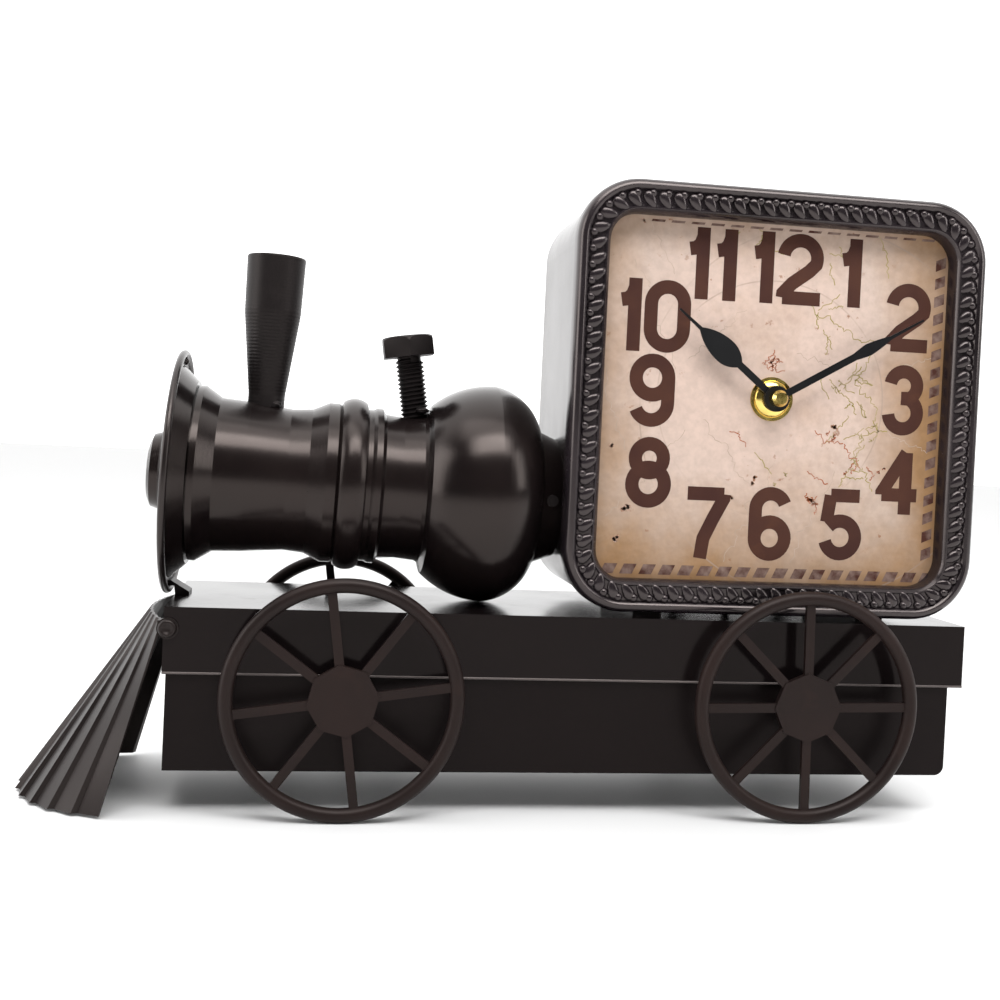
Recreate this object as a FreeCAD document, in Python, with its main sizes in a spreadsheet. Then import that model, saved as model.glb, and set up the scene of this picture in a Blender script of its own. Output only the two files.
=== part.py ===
import FreeCAD, Part
import math
import os
import Sketcher
from types import SimpleNamespace

# A table clock in the shape of a steam locomotive, in millimetres. The nose points to -X, the dial faces -Y,
# +Z is up and the wheels stand on Z = 0. The origin is under the middle of the whole outline.

DRIVING_SIZES = {
    # Whole layout, measured back from the chassis's front end
    "axle_front": (56.5, "chassis front to the front axle"),
    "axle_rear": (209.6, "chassis front to the rear axle"),
    "cab_offset": (126.6, "chassis front to the bezel's near edge"),
    "sheet": (1.0, "thickness of the tin sheet"),
    "slip": (0.1, "clearance of a sheet part that slides into another"),
    "rest_gap": (0.05, "gap under a round part that rests on the deck"),
    "screw_slip": (0.1, "radial clearance of a screw in its hole"),
    # Chassis
    "deck_length": (268.6, "length of the deck"),
    "deck_half_width": (35.3, "half the width of the deck"),
    "axle_to_deck": (27.1, "axles to the deck's top"),
    "deck_drop": (21.1, "height of the deck's sides"),
    "box_length": (264.0, "length of the lower box"),
    "axle_to_box": (24.8, "axles down to the lower box's underside"),
    "box_corner": (3.3, "rounding of the lower box's rear edge"),
    # Wheels
    "wheel_radius": (38.6, "outer radius of a wheel"),
    "wheel_stand": (8.0, "deck's side to the middle of a wheel"),
    "rim_bar": (2.35, "radius of the round bar of the rim"),
    "spoke_width": (3.0, "width of a spoke"),
    "spoke_thick": (1.6, "thickness of a spoke"),
    "hub_radius": (11.5, "corner radius of the hub plate"),
    "hub_thick": (2.4, "thickness of the hub plate"),
    "axle_radius": (2.5, "radius of an axle"),
    "axle_slip": (0.08, "radial running clearance of an axle"),
    "bush_radius": (4.2, "radius of a bush's body"),
    "bush_inside": (3.0, "bush inside the box's wall"),
    "bush_collar": (5.5, "radius of a bush's collar"),
    "wheel_gap": (0.5, "gap between a bush and a hub plate"),
    "spoke_turn_front": (8.0, "rest angle of the front wheels' spokes, degrees"),
    "spoke_turn_rear": (1.0, "rest angle of the rear wheels' spokes, degrees"),
    # Cowcatcher
    "catcher_reach": (49.2, "chassis front to the cowcatcher's tip"),
    "catcher_foot_radius": (41.2, "plan radius of the cowcatcher's foot"),
    "catcher_foot_angle": (78.0, "half the plan angle of the foot, degrees"),
    "catcher_top_bulge": (7.0, "how far the top edge bows forward"),
    "catcher_drop": (4.2, "deck's top down to the top edge"),
    "catcher_lift": (1.0, "gap between the foot and the ground"),
    "catcher_sheet": (0.8, "thickness of the cowcatcher's sheet"),
    "pleat_step": (1.5, "depth of a pleat at the foot"),
    "catcher_rivet": (3.0, "radius of a side rivet's head"),
    "catcher_pin": (0.9, "radius of a side rivet's pin"),
    "catcher_rivet_back": (1.3, "chassis front to a side rivet"),
    "catcher_rivet_drop": (6.7, "deck's top down to a side rivet"),
    # Smokebox, boiler and firebox, measured back along their own axis from the disc's front
    "disc_radius": (41.2, "radius of the smokebox disc over its rolled rim"),
    "disc_front": (2.4, "disc's front ahead of the chassis"),
    "disc_rim": (1.2, "radius of the disc's rolled rim"),
    "dish_inset": (5.2, "step from the disc's edge to the dish's edge"),
    "dish_back_radius": (31.0, "radius of the dish's back"),
    "dish_back": (6.4, "disc front to the dish's back"),
    "bead_radius": (1.35, "radius of the bead at the disc's top"),
    "bracket_reach": (4.6, "foot bracket behind the chassis front"),
    "bracket_width": (10.0, "width of the foot bracket"),
    "bracket_gap": (0.5, "gap from the foot bracket to the rolled rim and the dish"),
    "boss_radius": (15.0, "radius of the boss"),
    "boss_length": (8.0, "length of the boss"),
    "rod_radius": (2.5, "radius of the tie rod"),
    "bore_radius": (22.4, "inner radius of the boiler's tubes"),
    "flange_radius": (29.8, "radius of the boiler's front lip"),
    "barrel_radius": (25.6, "radius of the barrel behind the lip"),
    "barrel_waist": (24.2, "least radius of the barrel"),
    "band_radius": (27.4, "radius of the narrow band"),
    "ring_radius": (29.6, "radius of the round ring"),
    "ring_round": (6.8, "radius of the ring's rounding"),
    "seam_radius": (26.2, "radius at the seam of barrel and firebox"),
    "barrel_end": (65.6, "disc front to the seam"),
    "lip_start": (0.6, "dish to the boiler's front lip"),
    "lip_end": (2.6, "dish to the back of the lip's crown"),
    "lip_foot": (8.1, "dish to the end of the lip's cone"),
    "barrel_even": (18.1, "dish to the end of the barrel's even part"),
    "waist_place": (31.6, "dish to the barrel's waist"),
    "band_foot": (20.6, "narrow band's front foot to the seam"),
    "band_start": (15.1, "front of the narrow band to the seam"),
    "band_end": (11.6, "back of the narrow band to the seam"),
    "ring_start": (10.4, "front of the round ring to the seam"),
    "ring_end": (2.2, "back of the round ring to the seam"),
    "ring_edge": (1.4, "drop from the round ring's crown to its edges"),
    "turning_step": (0.6, "small step between two turned lengths"),
    "tube_wall": (1.4, "wall of the firebox"),
    "seam_bead": (4.4, "length of the firebox's front bead"),
    "waist_cone": (6.0, "length of the cone behind the front bead"),
    "waist_radius": (24.4, "radius of the firebox's waist"),
    "shoulder": (85.4, "disc front to the firebox's shoulder"),
    "shoulder_radius": (29.2, "radius of the shoulder"),
    "bulb_inset": (3.4, "step from the disc's radius to the firebox's greatest radius"),
    "bulb_middle": (107.4, "disc front to the firebox's widest place"),
    "bulb_front_round": (32.4, "rounding of the firebox's front"),
    "bulb_back_round": (19.2, "rounding of the firebox's back"),
    "bulb_end": (123.2, "disc front to the firebox's back"),
    "bulb_end_radius": (25.0, "radius of the firebox's back"),
    "collar_radius": (23.6, "radius of the neck collar at the firebox"),
    "collar_cab_radius": (19.0, "radius of the neck collar at the cab"),
    "collar_trim": (4.0, "neck collar left over for trimming to the cab's wall"),
    "rod_inside": (12.0, "tie rod inside the cab"),
    "neck_screw": (2.0, "radius of the neck screw's head"),
    # Chimney and dome bolt
    "chimney_screw": (2.0, "radius of the screw in the chimney's foot"),
    "chimney_place": (28.8, "disc front to the chimney's axis"),
    "chimney_foot_radius": (6.2, "radius of the chimney's foot"),
    "chimney_bend_radius": (9.5, "radius where the flare ends"),
    "chimney_top_radius": (9.95, "radius of the chimney's top"),
    "chimney_bend": (55.8, "boiler axis to the end of the flare"),
    "chimney_top": (75.6, "boiler axis to the chimney's top"),
    "chimney_bore": (7.6, "radius of the chimney's bore"),
    "chimney_bore_depth": (24.0, "depth of the chimney's bore"),
    "dome_place": (78.3, "chassis front to the dome bolt's foot"),
    "dome_rise": (23.4, "disc's middle up to the dome bolt's foot"),
    "dome_lean": (8.5, "lean of the dome bolt towards the nose, degrees"),
    "dome_shank": (19.9, "shank of the dome bolt above its foot"),
    "dome_inside": (17.0, "shank of the dome bolt below its foot"),
    "dome_radius": (4.9, "radius of the dome bolt's thread"),
    "dome_flats": (17.0, "width across flats of the dome bolt's head"),
    "dome_head": (7.2, "height of the dome bolt's head"),
    "dome_nut_drop": (7.5, "foot of the dome bolt to its nut"),
    # Cab
    "cab_size": (143.8, "side of the square bezel"),
    "cab_corner": (21.0, "corner radius of the bezel"),
    "cab_gap": (1.7, "gap between the deck and the bezel"),
    "cab_front": (35.4, "middle of the chassis to the bezel's front"),
    "cab_back": (32.8, "middle of the chassis to the cab's back"),
    "bezel_depth": (8.0, "depth of the bezel"),
    "bezel_round": (2.6, "rounding of the bezel's front edge"),
    "bezel_width": (11.0, "width of the bezel's frame"),
    "window_corner": (9.0, "corner radius of the bezel's window"),
    "skirt_depth": (6.0, "depth of the bezel's skirt in the housing"),
    "housing_inset": (1.6, "step from the bezel to the housing's walls"),
    "dial_thick": (2.0, "thickness of the dial board"),
    "dial_shift_x": (-0.9, "movement's axis from the cab's middle, along X"),
    "dial_shift_z": (1.6, "movement's axis from the cab's middle, along Z"),
    "access_half": (42.0, "half the side of the window in the back cover"),
    "cab_screw_radius": (2.0, "radius of the screws under the cab"),
    "cab_screw_pitch": (80.0, "distance between the screws under the cab"),
    "spacer_half": (5.0, "half the width of a spacer strip"),
    "spacer_reach": (24.0, "half the length of a spacer strip"),
    "tab_side": (8.0, "side of a tab that holds the back cover"),
    "tab_height": (45.0, "cab's middle to a tab, along Z"),
    "cover_screw_radius": (1.5, "radius of a back cover screw"),
    # Quartz movement
    "movement_half": (28.0, "half the side of the movement"),
    "movement_depth": (16.0, "depth of the movement"),
    "case_split": (9.5, "depth of the movement's front case"),
    "case_wall": (1.2, "wall of the movement's case"),
    "battery_radius": (7.25, "radius of the battery"),
    "battery_length": (50.5, "length of the battery over its button"),
    "battery_slip": (0.35, "clearance of the battery in its bay"),
    "battery_button": (1.0, "height of the battery's button"),
    "contact_thick": (0.5, "thickness of a battery contact"),
    "board_width": (14.0, "width of the circuit board"),
    "board_height": (16.0, "height of the circuit board"),
    "coil_radius": (3.2, "radius of the motor's coil"),
    "coil_length": (15.0, "length of the motor's coil"),
    "coil_rise": (-1.0, "coil above the board's lower edge"),
    "stator_width": (9.0, "coil axis to the stator's end"),
    "stem_radius": (4.0, "radius of the threaded stem"),
    "stem_length": (5.0, "threaded stem ahead of the movement"),
    "pipe_radius": (2.5, "radius of the hour wheel's pipe"),
    "pipe_end": (7.0, "movement's front to the pipe's end"),
    "arbor_radius": (1.6, "radius of the minute arbor"),
    "arbor_end": (10.6, "movement's front to the arbor's end"),
    "pivot_slip": (0.08, "radial running clearance in the movement"),
    "washer_radius": (7.5, "radius of the brass washer"),
    "washer_thick": (0.5, "thickness of the brass washer"),
    "nut_flats": (11.0, "width across flats of the brass nut"),
    "nut_thick": (2.0, "thickness of the brass nut"),
    "hand_collar": (4.4, "radius of a hand's collar"),
    "hand_root": (1.2, "half the width of a hand's stem"),
    "hand_needle": (0.6, "half the width of a hand's needle at its start"),
    "hour_swell": (4.2, "half the width of the hour hand's leaf"),
    "hour_leaf_start": (0.38, "start of the hour hand's leaf, as a share of its length"),
    "hour_leaf_middle": (0.53, "widest place of the hour hand's leaf, as a share"),
    "hour_leaf_end": (0.78, "end of the hour hand's leaf, as a share"),
    "minute_swell": (2.1, "half the width of the minute hand's leaf"),
    "minute_leaf_start": (0.53, "start of the minute hand's leaf, as a share of its length"),
    "minute_leaf_middle": (0.62, "widest place of the minute hand's leaf, as a share"),
    "minute_leaf_end": (0.775, "end of the minute hand's leaf, as a share"),
    "hand_inset": (0.5, "pipe's end ahead of the hour hand"),
    "cap_length": (3.0, "arbor inside the hand cap"),
    "cap_cover": (1.2, "hand cap ahead of the arbor"),
    "cap_radius": (2.8, "radius of the hand cap"),
    "hand_thick": (0.5, "thickness of a hand"),
    "minute_length": (59.0, "length of the minute hand"),
    "hour_length": (45.0, "length of the hour hand"),
    "minute_turn": (60.0, "minute hand clockwise from twelve, degrees"),
    "hour_turn": (309.0, "hour hand clockwise from twelve, degrees"),
    "gear_module": (0.5, "module of the minute gears"),
    "hour_module": (0.48, "module of the hour gears"),
    "gear_thick": (0.8, "thickness of a gear"),
    "gear_gap": (0.25, "gap between gears in a stack"),
    "pivot_radius": (1.0, "radius of the motion wheel's bore"),
    "knob_stem": (1.5, "radius of the setting knob's stem"),
    "knob_radius": (6.0, "radius of the setting knob's grip"),
    "knob_length": (5.0, "length of the setting knob's grip"),
    "motion_angle": (60.0, "direction of the motion wheel, degrees"),
    "knob_angle": (150.0, "direction of the setting knob from the motion wheel, degrees"),
}

DERIVED_SIZES = {
    "deck_top": "wheel_radius + axle_to_deck",
    "box_bottom": "wheel_radius - axle_to_box",
    "wheel_plane": "deck_half_width + wheel_stand",
    "catcher_top": "deck_top - catcher_drop",
    "catcher_rivet_height": "deck_top - catcher_rivet_drop",
    "dish_radius": "disc_radius - dish_inset",
    "bulb_radius": "disc_radius - bulb_inset",
    "nose_x": "(catcher_reach - cab_offset - cab_size) / 2",
    "disc_x": "nose_x - disc_front",
    "boiler_lean": "asin((disc_radius - bulb_radius) / bulb_middle) / 1deg",
    "dome_sin": "sin(dome_lean * 1deg)",
    "dome_cos": "cos(dome_lean * 1deg)",
    "lean_sin": "sin(boiler_lean * 1deg)",
    "lean_cos": "cos(boiler_lean * 1deg)",
    "disc_z": "deck_top + rest_gap + disc_radius * lean_cos",
    "dome_foot": "disc_z + dome_rise",
    "cab_half": "cab_size / 2",
    "cab_x": "nose_x + cab_offset + cab_half",
    "cab_z": "deck_top + cab_gap + cab_half",
    "housing_half": "cab_half - housing_inset",
    "housing_corner": "cab_corner - housing_inset",
    "dial_front": "-cab_front + bezel_depth",
    "hour_leaf_rear": "hour_length * (hour_leaf_middle - hour_leaf_start)",
    "hour_leaf_front": "hour_length * (hour_leaf_end - hour_leaf_middle)",
    "hour_rear_round": "(hour_leaf_rear^2 / (hour_swell - hand_root) + hour_swell - hand_root) / 2",
    "hour_front_round": "(hour_leaf_front^2 / (hour_swell - hand_needle) + hour_swell - hand_needle) / 2",
    "movement_front": "-cab_front + bezel_depth + dial_thick",
    "movement_back": "-cab_front + bezel_depth + dial_thick + movement_depth",
    "axis_x": "cab_x + dial_shift_x",
    "axis_z": "cab_z + dial_shift_z",
    "motion_x": "axis_x + 24 * gear_module * cos(motion_angle * 1deg)",
    "motion_z": "axis_z + 24 * gear_module * sin(motion_angle * 1deg)",
    "knob_x": "motion_x + 24 * gear_module * cos(knob_angle * 1deg)",
    "knob_z": "motion_z + 24 * gear_module * sin(knob_angle * 1deg)",
    "bay_z": "axis_z - movement_half + case_wall + battery_radius + battery_slip",
    "bay_y": "movement_back - battery_radius - battery_slip",
}

SLATS = 12
SPOKES = 8
X_AXIS = FreeCAD.Vector(1, 0, 0)
Y_AXIS = FreeCAD.Vector(0, 1, 0)
Z_AXIS = FreeCAD.Vector(0, 0, 1)

doc = FreeCAD.newDocument("LocomotiveClock")
sheet = doc.addObject("Spreadsheet::Sheet", "Sizes")
nodes = {}


class Size(float):
    """A number that also carries the sheet expression it was worked out from."""

    def __new__(cls, value, text):
        made = super().__new__(cls, value)
        made.text = text
        return made

    def __add__(self, other):
        return Size(float(self) + float(other), f"({self.text} + {text_of(other)})")

    def __radd__(self, other):
        return Size(float(other) + float(self), f"({text_of(other)} + {self.text})")

    def __sub__(self, other):
        return Size(float(self) - float(other), f"({self.text} - {text_of(other)})")

    def __rsub__(self, other):
        return Size(float(other) - float(self), f"({text_of(other)} - {self.text})")

    def __mul__(self, other):
        return Size(float(self) * float(other), f"({self.text} * {text_of(other)})")

    def __rmul__(self, other):
        return Size(float(other) * float(self), f"({text_of(other)} * {self.text})")

    def __truediv__(self, other):
        return Size(float(self) / float(other), f"({self.text} / {text_of(other)})")

    def __neg__(self):
        return Size(-float(self), f"(-1 * {self.text})")


def text_of(value):
    return value.text if isinstance(value, Size) else f"{float(value):.6f}"


def read_sheet():
    """Fill the sheet, recompute it and give each alias as a Size."""
    row = 0
    for name, (value, meaning) in DRIVING_SIZES.items():
        row += 1
        sheet.set(f"A{row}", meaning)
        sheet.set(f"B{row}", str(value))
        sheet.setAlias(f"B{row}", name)
    for name, formula in DERIVED_SIZES.items():
        row += 1
        sheet.set(f"A{row}", "worked out")
        sheet.set(f"B{row}", f"={formula}")
        sheet.setAlias(f"B{row}", name)
    doc.recompute()
    sizes = {}
    for name in list(DRIVING_SIZES) + list(DERIVED_SIZES):
        value = sheet.get(name)
        sizes[name] = Size(getattr(value, "Value", value), f"Sizes.{name}")
    return SimpleNamespace(**sizes)


s = read_sheet()


# Helpers: each makes document objects whose sizes are bound to the sheet


def bind(item, **values):
    """Set each property, and its expression where the value comes from the sheet."""
    for name, value in values.items():
        setattr(item, name, float(value))
        if isinstance(value, Size):
            item.setExpression(name, value.text)
    return item


def place(item, x=0.0, y=0.0, z=0.0, about=Z_AXIS, turn=0.0):
    item.Placement = FreeCAD.Placement(FreeCAD.Vector(x, y, z), FreeCAD.Rotation(about, float(turn)))
    for name, value in (("x", x), ("y", y), ("z", z)):
        if isinstance(value, Size):
            item.setExpression(f"Placement.Base.{name}", value.text)
    if isinstance(turn, Size):
        item.setExpression("Placement.Rotation.Angle", turn.text)
    return item


def along_boiler(along, out=0.0):
    """X and Z of a point on the leaning boiler: along its axis, then out from it upwards."""
    return {
        "x": s.disc_x + along * s.lean_cos + out * s.lean_sin,
        "z": s.disc_z - along * s.lean_sin + out * s.lean_cos,
    }


def block(name, low, high):
    """A box between its lowest and highest corners."""
    item = doc.addObject("Part::Box", name)
    bind(item, Length=high[0] - low[0], Width=high[1] - low[1], Height=high[2] - low[2])
    return place(item, *low)


def rod(name, radius, length, **where):
    item = doc.addObject("Part::Cylinder", name)
    bind(item, Radius=radius, Height=length)
    return place(item, **where)


def hexagon(name, flats, length, **where):
    item = doc.addObject("Part::Prism", name)
    item.Polygon = 6
    bind(item, Circumradius=flats * (1 / math.sqrt(3)), Height=length)
    return place(item, **where)


def join(name, parts):
    item = doc.addObject("Part::MultiFuse", name)
    item.Shapes = parts
    return item


def group(name, parts):
    """Separate solids that share one node."""
    item = doc.addObject("Part::Compound", name)
    item.Links = parts
    return item


def cut(name, base, tools):
    item = doc.addObject("Part::Cut", name)
    item.Base = base
    item.Tool = tools[0] if len(tools) == 1 else join(f"{name}_tools", tools)
    return item


def node(name, item):
    """Name a finished sub-part; the label is its node and its file."""
    item.Label = name
    nodes[name] = item
    return item


def arc_between(start, end, radius):
    """The arc from start to end; a positive radius turns left, a negative one right."""
    chord = end - start
    middle = (start + end) * 0.5
    left = FreeCAD.Vector(-chord.y, chord.x, 0).normalize()
    reach = math.sqrt(radius * radius - chord.Length * chord.Length / 4)
    centre = middle + left * math.copysign(reach, radius)
    first, last = (start, end) if radius > 0 else (end, start)
    first_angle = math.atan2(first.y - centre.y, first.x - centre.x)
    last_angle = math.atan2(last.y - centre.y, last.x - centre.x)
    if last_angle < first_angle:
        last_angle += 2 * math.pi
    circle = Part.Circle(centre, FreeCAD.Vector(0, 0, 1), abs(radius))
    return Part.ArcOfCircle(circle, first_angle, last_angle)


def hold_point(sketch, edge, end, corner):
    """Dimension one corner of an outline from the sketch's origin."""
    for kind, value, on_axis in (("DistanceX", corner[0], -2), ("DistanceY", corner[1], -1)):
        if abs(value) < 1e-9:
            sketch.addConstraint(Sketcher.Constraint("PointOnObject", edge, end, on_axis))
            continue
        if value > 0:
            index = sketch.addConstraint(Sketcher.Constraint(kind, -1, 1, edge, end, float(value)))
        else:
            index = sketch.addConstraint(Sketcher.Constraint(kind, edge, end, -1, 1, -float(value)))
        if isinstance(value, Size):
            text = value.text if value > 0 else (-value).text
            sketch.setExpression(f"Constraints[{index}]", text)


def draw(sketch, corners):
    """Close the corners into an outline. A corner's third value is the radius of the arc that arrives
    there."""
    first_edge = sketch.GeometryCount
    ends = []
    for index, start in enumerate(corners):
        end = corners[(index + 1) % len(corners)]
        from_point = FreeCAD.Vector(start[0], start[1], 0)
        to_point = FreeCAD.Vector(end[0], end[1], 0)
        if len(end) > 2:
            edge = sketch.addGeometry(arc_between(from_point, to_point, float(end[2])), False)
            ends.append((1, 2) if end[2] > 0 else (2, 1))
            held = sketch.addConstraint(Sketcher.Constraint("Radius", edge, abs(float(end[2]))))
            if isinstance(end[2], Size):
                sketch.setExpression(f"Constraints[{held}]", end[2].text if end[2] > 0 else (-end[2]).text)
        else:
            sketch.addGeometry(Part.LineSegment(from_point, to_point), False)
            ends.append((1, 2))
    for index, corner in enumerate(corners):
        edge = first_edge + index
        before = first_edge + (index - 1) % len(corners)
        before_end = ends[(index - 1) % len(corners)][1]
        sketch.addConstraint(Sketcher.Constraint("Coincident", before, before_end, edge, ends[index][0]))
        hold_point(sketch, edge, ends[index][0], corner)


def circle(sketch, radius, across=0.0, up=0.0):
    centre = FreeCAD.Vector(across, up, 0)
    edge = sketch.addGeometry(Part.Circle(centre, FreeCAD.Vector(0, 0, 1), float(radius)), False)
    hold_point(sketch, edge, 3, (across, up))
    held = sketch.addConstraint(Sketcher.Constraint("Radius", edge, float(radius)))
    if isinstance(radius, Size):
        sketch.setExpression(f"Constraints[{held}]", radius.text)


def body_with_sketch(name, plane):
    body = doc.addObject("PartDesign::Body", name)
    sketch = body.newObject("Sketcher::SketchObject", f"{name}_outline")
    origin_plane = [item for item in body.Origin.OriginFeatures if item.Role == plane][0]
    sketch.AttachmentSupport = (origin_plane, [""])
    sketch.MapMode = "FlatFace"
    return body, sketch


def turned(name, outline, **where):
    """A body of revolution about its own X axis, from (along, radius) corners."""
    body, sketch = body_with_sketch(name, "XY_Plane")
    draw(sketch, outline)
    revolution = body.newObject("PartDesign::Revolution", f"{name}_turn")
    revolution.Profile = sketch
    revolution.ReferenceAxis = (sketch, ["H_Axis"])
    revolution.Angle = 360
    return place(body, **where)


def slab(name, outlines, thick, **where):
    """Outlines in X and Z, made into a plate that runs from its own Y = 0 to +thick."""
    body, sketch = body_with_sketch(name, "XZ_Plane")
    for outline in outlines:
        if isinstance(outline, dict):
            circle(sketch, **outline)
        else:
            draw(sketch, outline)
    pad = body.newObject("PartDesign::Pad", f"{name}_pad")
    pad.Profile = sketch
    pad.Reversed = True
    bind(pad, Length=thick)
    return place(body, **where)


def rounded_square(half, corner):
    """A square with rounded corners about the sketch's origin."""
    flat = half - corner
    return [
        (-flat, -half, corner),
        (flat, -half),
        (half, -flat, corner),
        (half, flat),
        (flat, half, corner),
        (-flat, half),
        (-half, flat, corner),
        (-half, -flat),
    ]


def star(name, outlines, thick, tooth, tooth_thick, count, **where):
    """A plate with the same tooth or spoke padded around it, centred on its own Y = 0."""
    body, sketch = body_with_sketch(name, "XZ_Plane")
    for outline in outlines:
        if isinstance(outline, dict):
            circle(sketch, **outline)
        else:
            draw(sketch, outline)
    plate = body.newObject("PartDesign::Pad", f"{name}_plate")
    plate.Profile = sketch
    plate.Midplane = True
    bind(plate, Length=thick)
    tooth_sketch = body.newObject("Sketcher::SketchObject", f"{name}_tooth")
    tooth_sketch.AttachmentSupport = sketch.AttachmentSupport
    tooth_sketch.MapMode = "FlatFace"
    draw(tooth_sketch, tooth)
    pad = body.newObject("PartDesign::Pad", f"{name}_tooth_pad")
    pad.Profile = tooth_sketch
    pad.Midplane = True
    bind(pad, Length=tooth_thick)
    doc.recompute()
    ring = body.newObject("PartDesign::PolarPattern", f"{name}_ring")
    ring.Originals = [pad]
    ring.Axis = (tooth_sketch, ["N_Axis"])
    ring.Angle = 360
    ring.Occurrences = count
    body.Tip = ring
    return place(body, **where)


# Chassis


def make_chassis():
    deck_low = s.deck_top - s.deck_drop
    inner = s.deck_half_width - s.sheet
    rear = s.nose_x + s.deck_length
    shell = block("deck_shell", (s.nose_x, -s.deck_half_width, deck_low),
                  (rear, s.deck_half_width, s.deck_top))
    hollow = block("deck_hollow", (s.nose_x + s.sheet, -inner, deck_low - 1),
                   (rear - s.sheet, inner, s.deck_top - s.sheet))
    holes = [
        rod(f"deck_hole_{side}", s.cab_screw_radius + s.screw_slip, s.sheet * 3,
            x=s.cab_x + side * s.cab_screw_pitch / 2, z=s.deck_top - s.sheet * 2)
        for side in (-1, 1)
    ]
    pins = [
        rod(f"deck_pin_hole_{side}", s.catcher_pin + s.screw_slip, s.sheet * 3,
            x=s.nose_x + s.catcher_rivet_back,
            y=side * s.deck_half_width + s.sheet * 1.5, z=s.catcher_rivet_height, about=X_AXIS, turn=90)
        for side in (-1, 1)
    ]
    node("chassis_deck", cut("deck_cut", shell, [hollow] + holes + pins))

    front = s.nose_x + s.sheet + s.slip
    back = s.nose_x + s.box_length
    half = inner - s.slip
    roof = s.deck_top - s.sheet
    corner = s.box_corner
    outline = [
        (front, s.box_bottom), (back - corner, s.box_bottom), (back, s.box_bottom + corner, corner),
        (back, roof), (front, roof),
    ]
    bottom = s.box_bottom + s.sheet
    wall = s.sheet
    room = [
        (front + wall, bottom), (back - corner, bottom), (back - wall, s.box_bottom + corner, corner - wall),
        (back - wall, roof + 1), (front + wall, roof + 1),
    ]
    tray = slab("box_outside", [outline], half * 2, y=-half)
    inside = slab("box_inside", [room], (half - wall) * 2, y=-(half - wall))
    bores = [
        rod(f"box_bore_{number}", s.bush_radius, half * 2 + 2, x=s.nose_x + reach, y=half + 1,
            z=s.wheel_radius, about=X_AXIS, turn=90)
        for number, reach in enumerate((s.axle_front, s.axle_rear))
    ]
    node("chassis_box", cut("box_cut", tray, [inside] + bores))


def make_bushes():
    """Four flanged bushes through the box's walls."""
    wall_face = s.deck_half_width - s.sheet - s.slip
    start = wall_face - s.sheet - s.bush_inside
    end = s.wheel_plane - s.hub_thick / 2 - s.wheel_gap
    bore = s.axle_radius + s.axle_slip
    outline = [
        (0, bore), (end - start, bore), (end - start, s.bush_collar), (wall_face - start, s.bush_collar),
        (wall_face - start, s.bush_radius), (0, s.bush_radius),
    ]
    bushes = []
    for number, reach in enumerate((s.axle_front, s.axle_rear)):
        for side, turn in ((-1, -90), (1, 90)):
            bushes.append(turned(f"bush_{number}_{turn + 90}", outline, x=s.nose_x + reach, y=side * start,
                                 z=s.wheel_radius, turn=turn))
    node("axle_bushes", group("bush_group", bushes))


# Wheels


def make_wheel(name, x, side, phase):
    """A rim of round bar, a hub plate and flat spokes, welded into one piece."""
    corners = 8
    hub = [
        (s.hub_radius * math.cos(2 * math.pi * step / corners),
         s.hub_radius * math.sin(2 * math.pi * step / corners))
        for step in range(corners)
    ]
    inner = s.hub_radius * 0.7
    outer = s.wheel_radius - s.rim_bar * 1.6
    half = s.spoke_width / 2
    spoke = [(inner, -half), (outer, -half), (outer, half), (inner, half)]
    spokes = star(f"{name}_star", [hub, {"radius": s.axle_radius}], s.hub_thick, spoke, s.spoke_thick,
                  SPOKES)
    rim = doc.addObject("Part::Torus", f"{name}_rim")
    bind(rim, Radius1=s.wheel_radius - s.rim_bar, Radius2=s.rim_bar)
    place(rim, about=X_AXIS, turn=90)
    wheel = join(f"{name}_weld", [rim, spokes])
    place(wheel, x=x, y=side * s.wheel_plane, z=s.wheel_radius, about=Y_AXIS, turn=-phase)
    node(name, wheel)


def make_wheelset(end, reach, phase):
    x = s.nose_x + reach
    half = s.wheel_plane + s.hub_thick / 2
    node(f"{end}_axle", rod(f"{end}_axle_rod", s.axle_radius, half * 2, x=x, y=half, z=s.wheel_radius,
                            about=X_AXIS, turn=90))
    make_wheel(f"{end}_wheel_near", x, -1, phase)
    make_wheel(f"{end}_wheel_far", x, 1, phase)


# Cowcatcher


def pleated_edge(centre_x, radius, half_angle, step, z):
    """One closed saw-toothed strip in plan, as thick as the sheet."""
    outer = []
    inner = []
    for slat in range(SLATS):
        for share, depth in ((0.0, 0.0), (0.86, step)):
            angle = half_angle * (2 * (slat + share) / SLATS - 1)
            outer.append((angle, radius - depth))
            inner.append((angle, radius - depth - s.catcher_sheet))
    outer.append((half_angle, float(radius)))
    inner.append((half_angle, radius - s.catcher_sheet))
    points = [
        FreeCAD.Vector(centre_x - reach * math.cos(math.radians(angle)),
                       reach * math.sin(math.radians(angle)), z)
        for angle, reach in outer + inner[::-1]
    ]
    return Part.makePolygon(points + points[:1])


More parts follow.
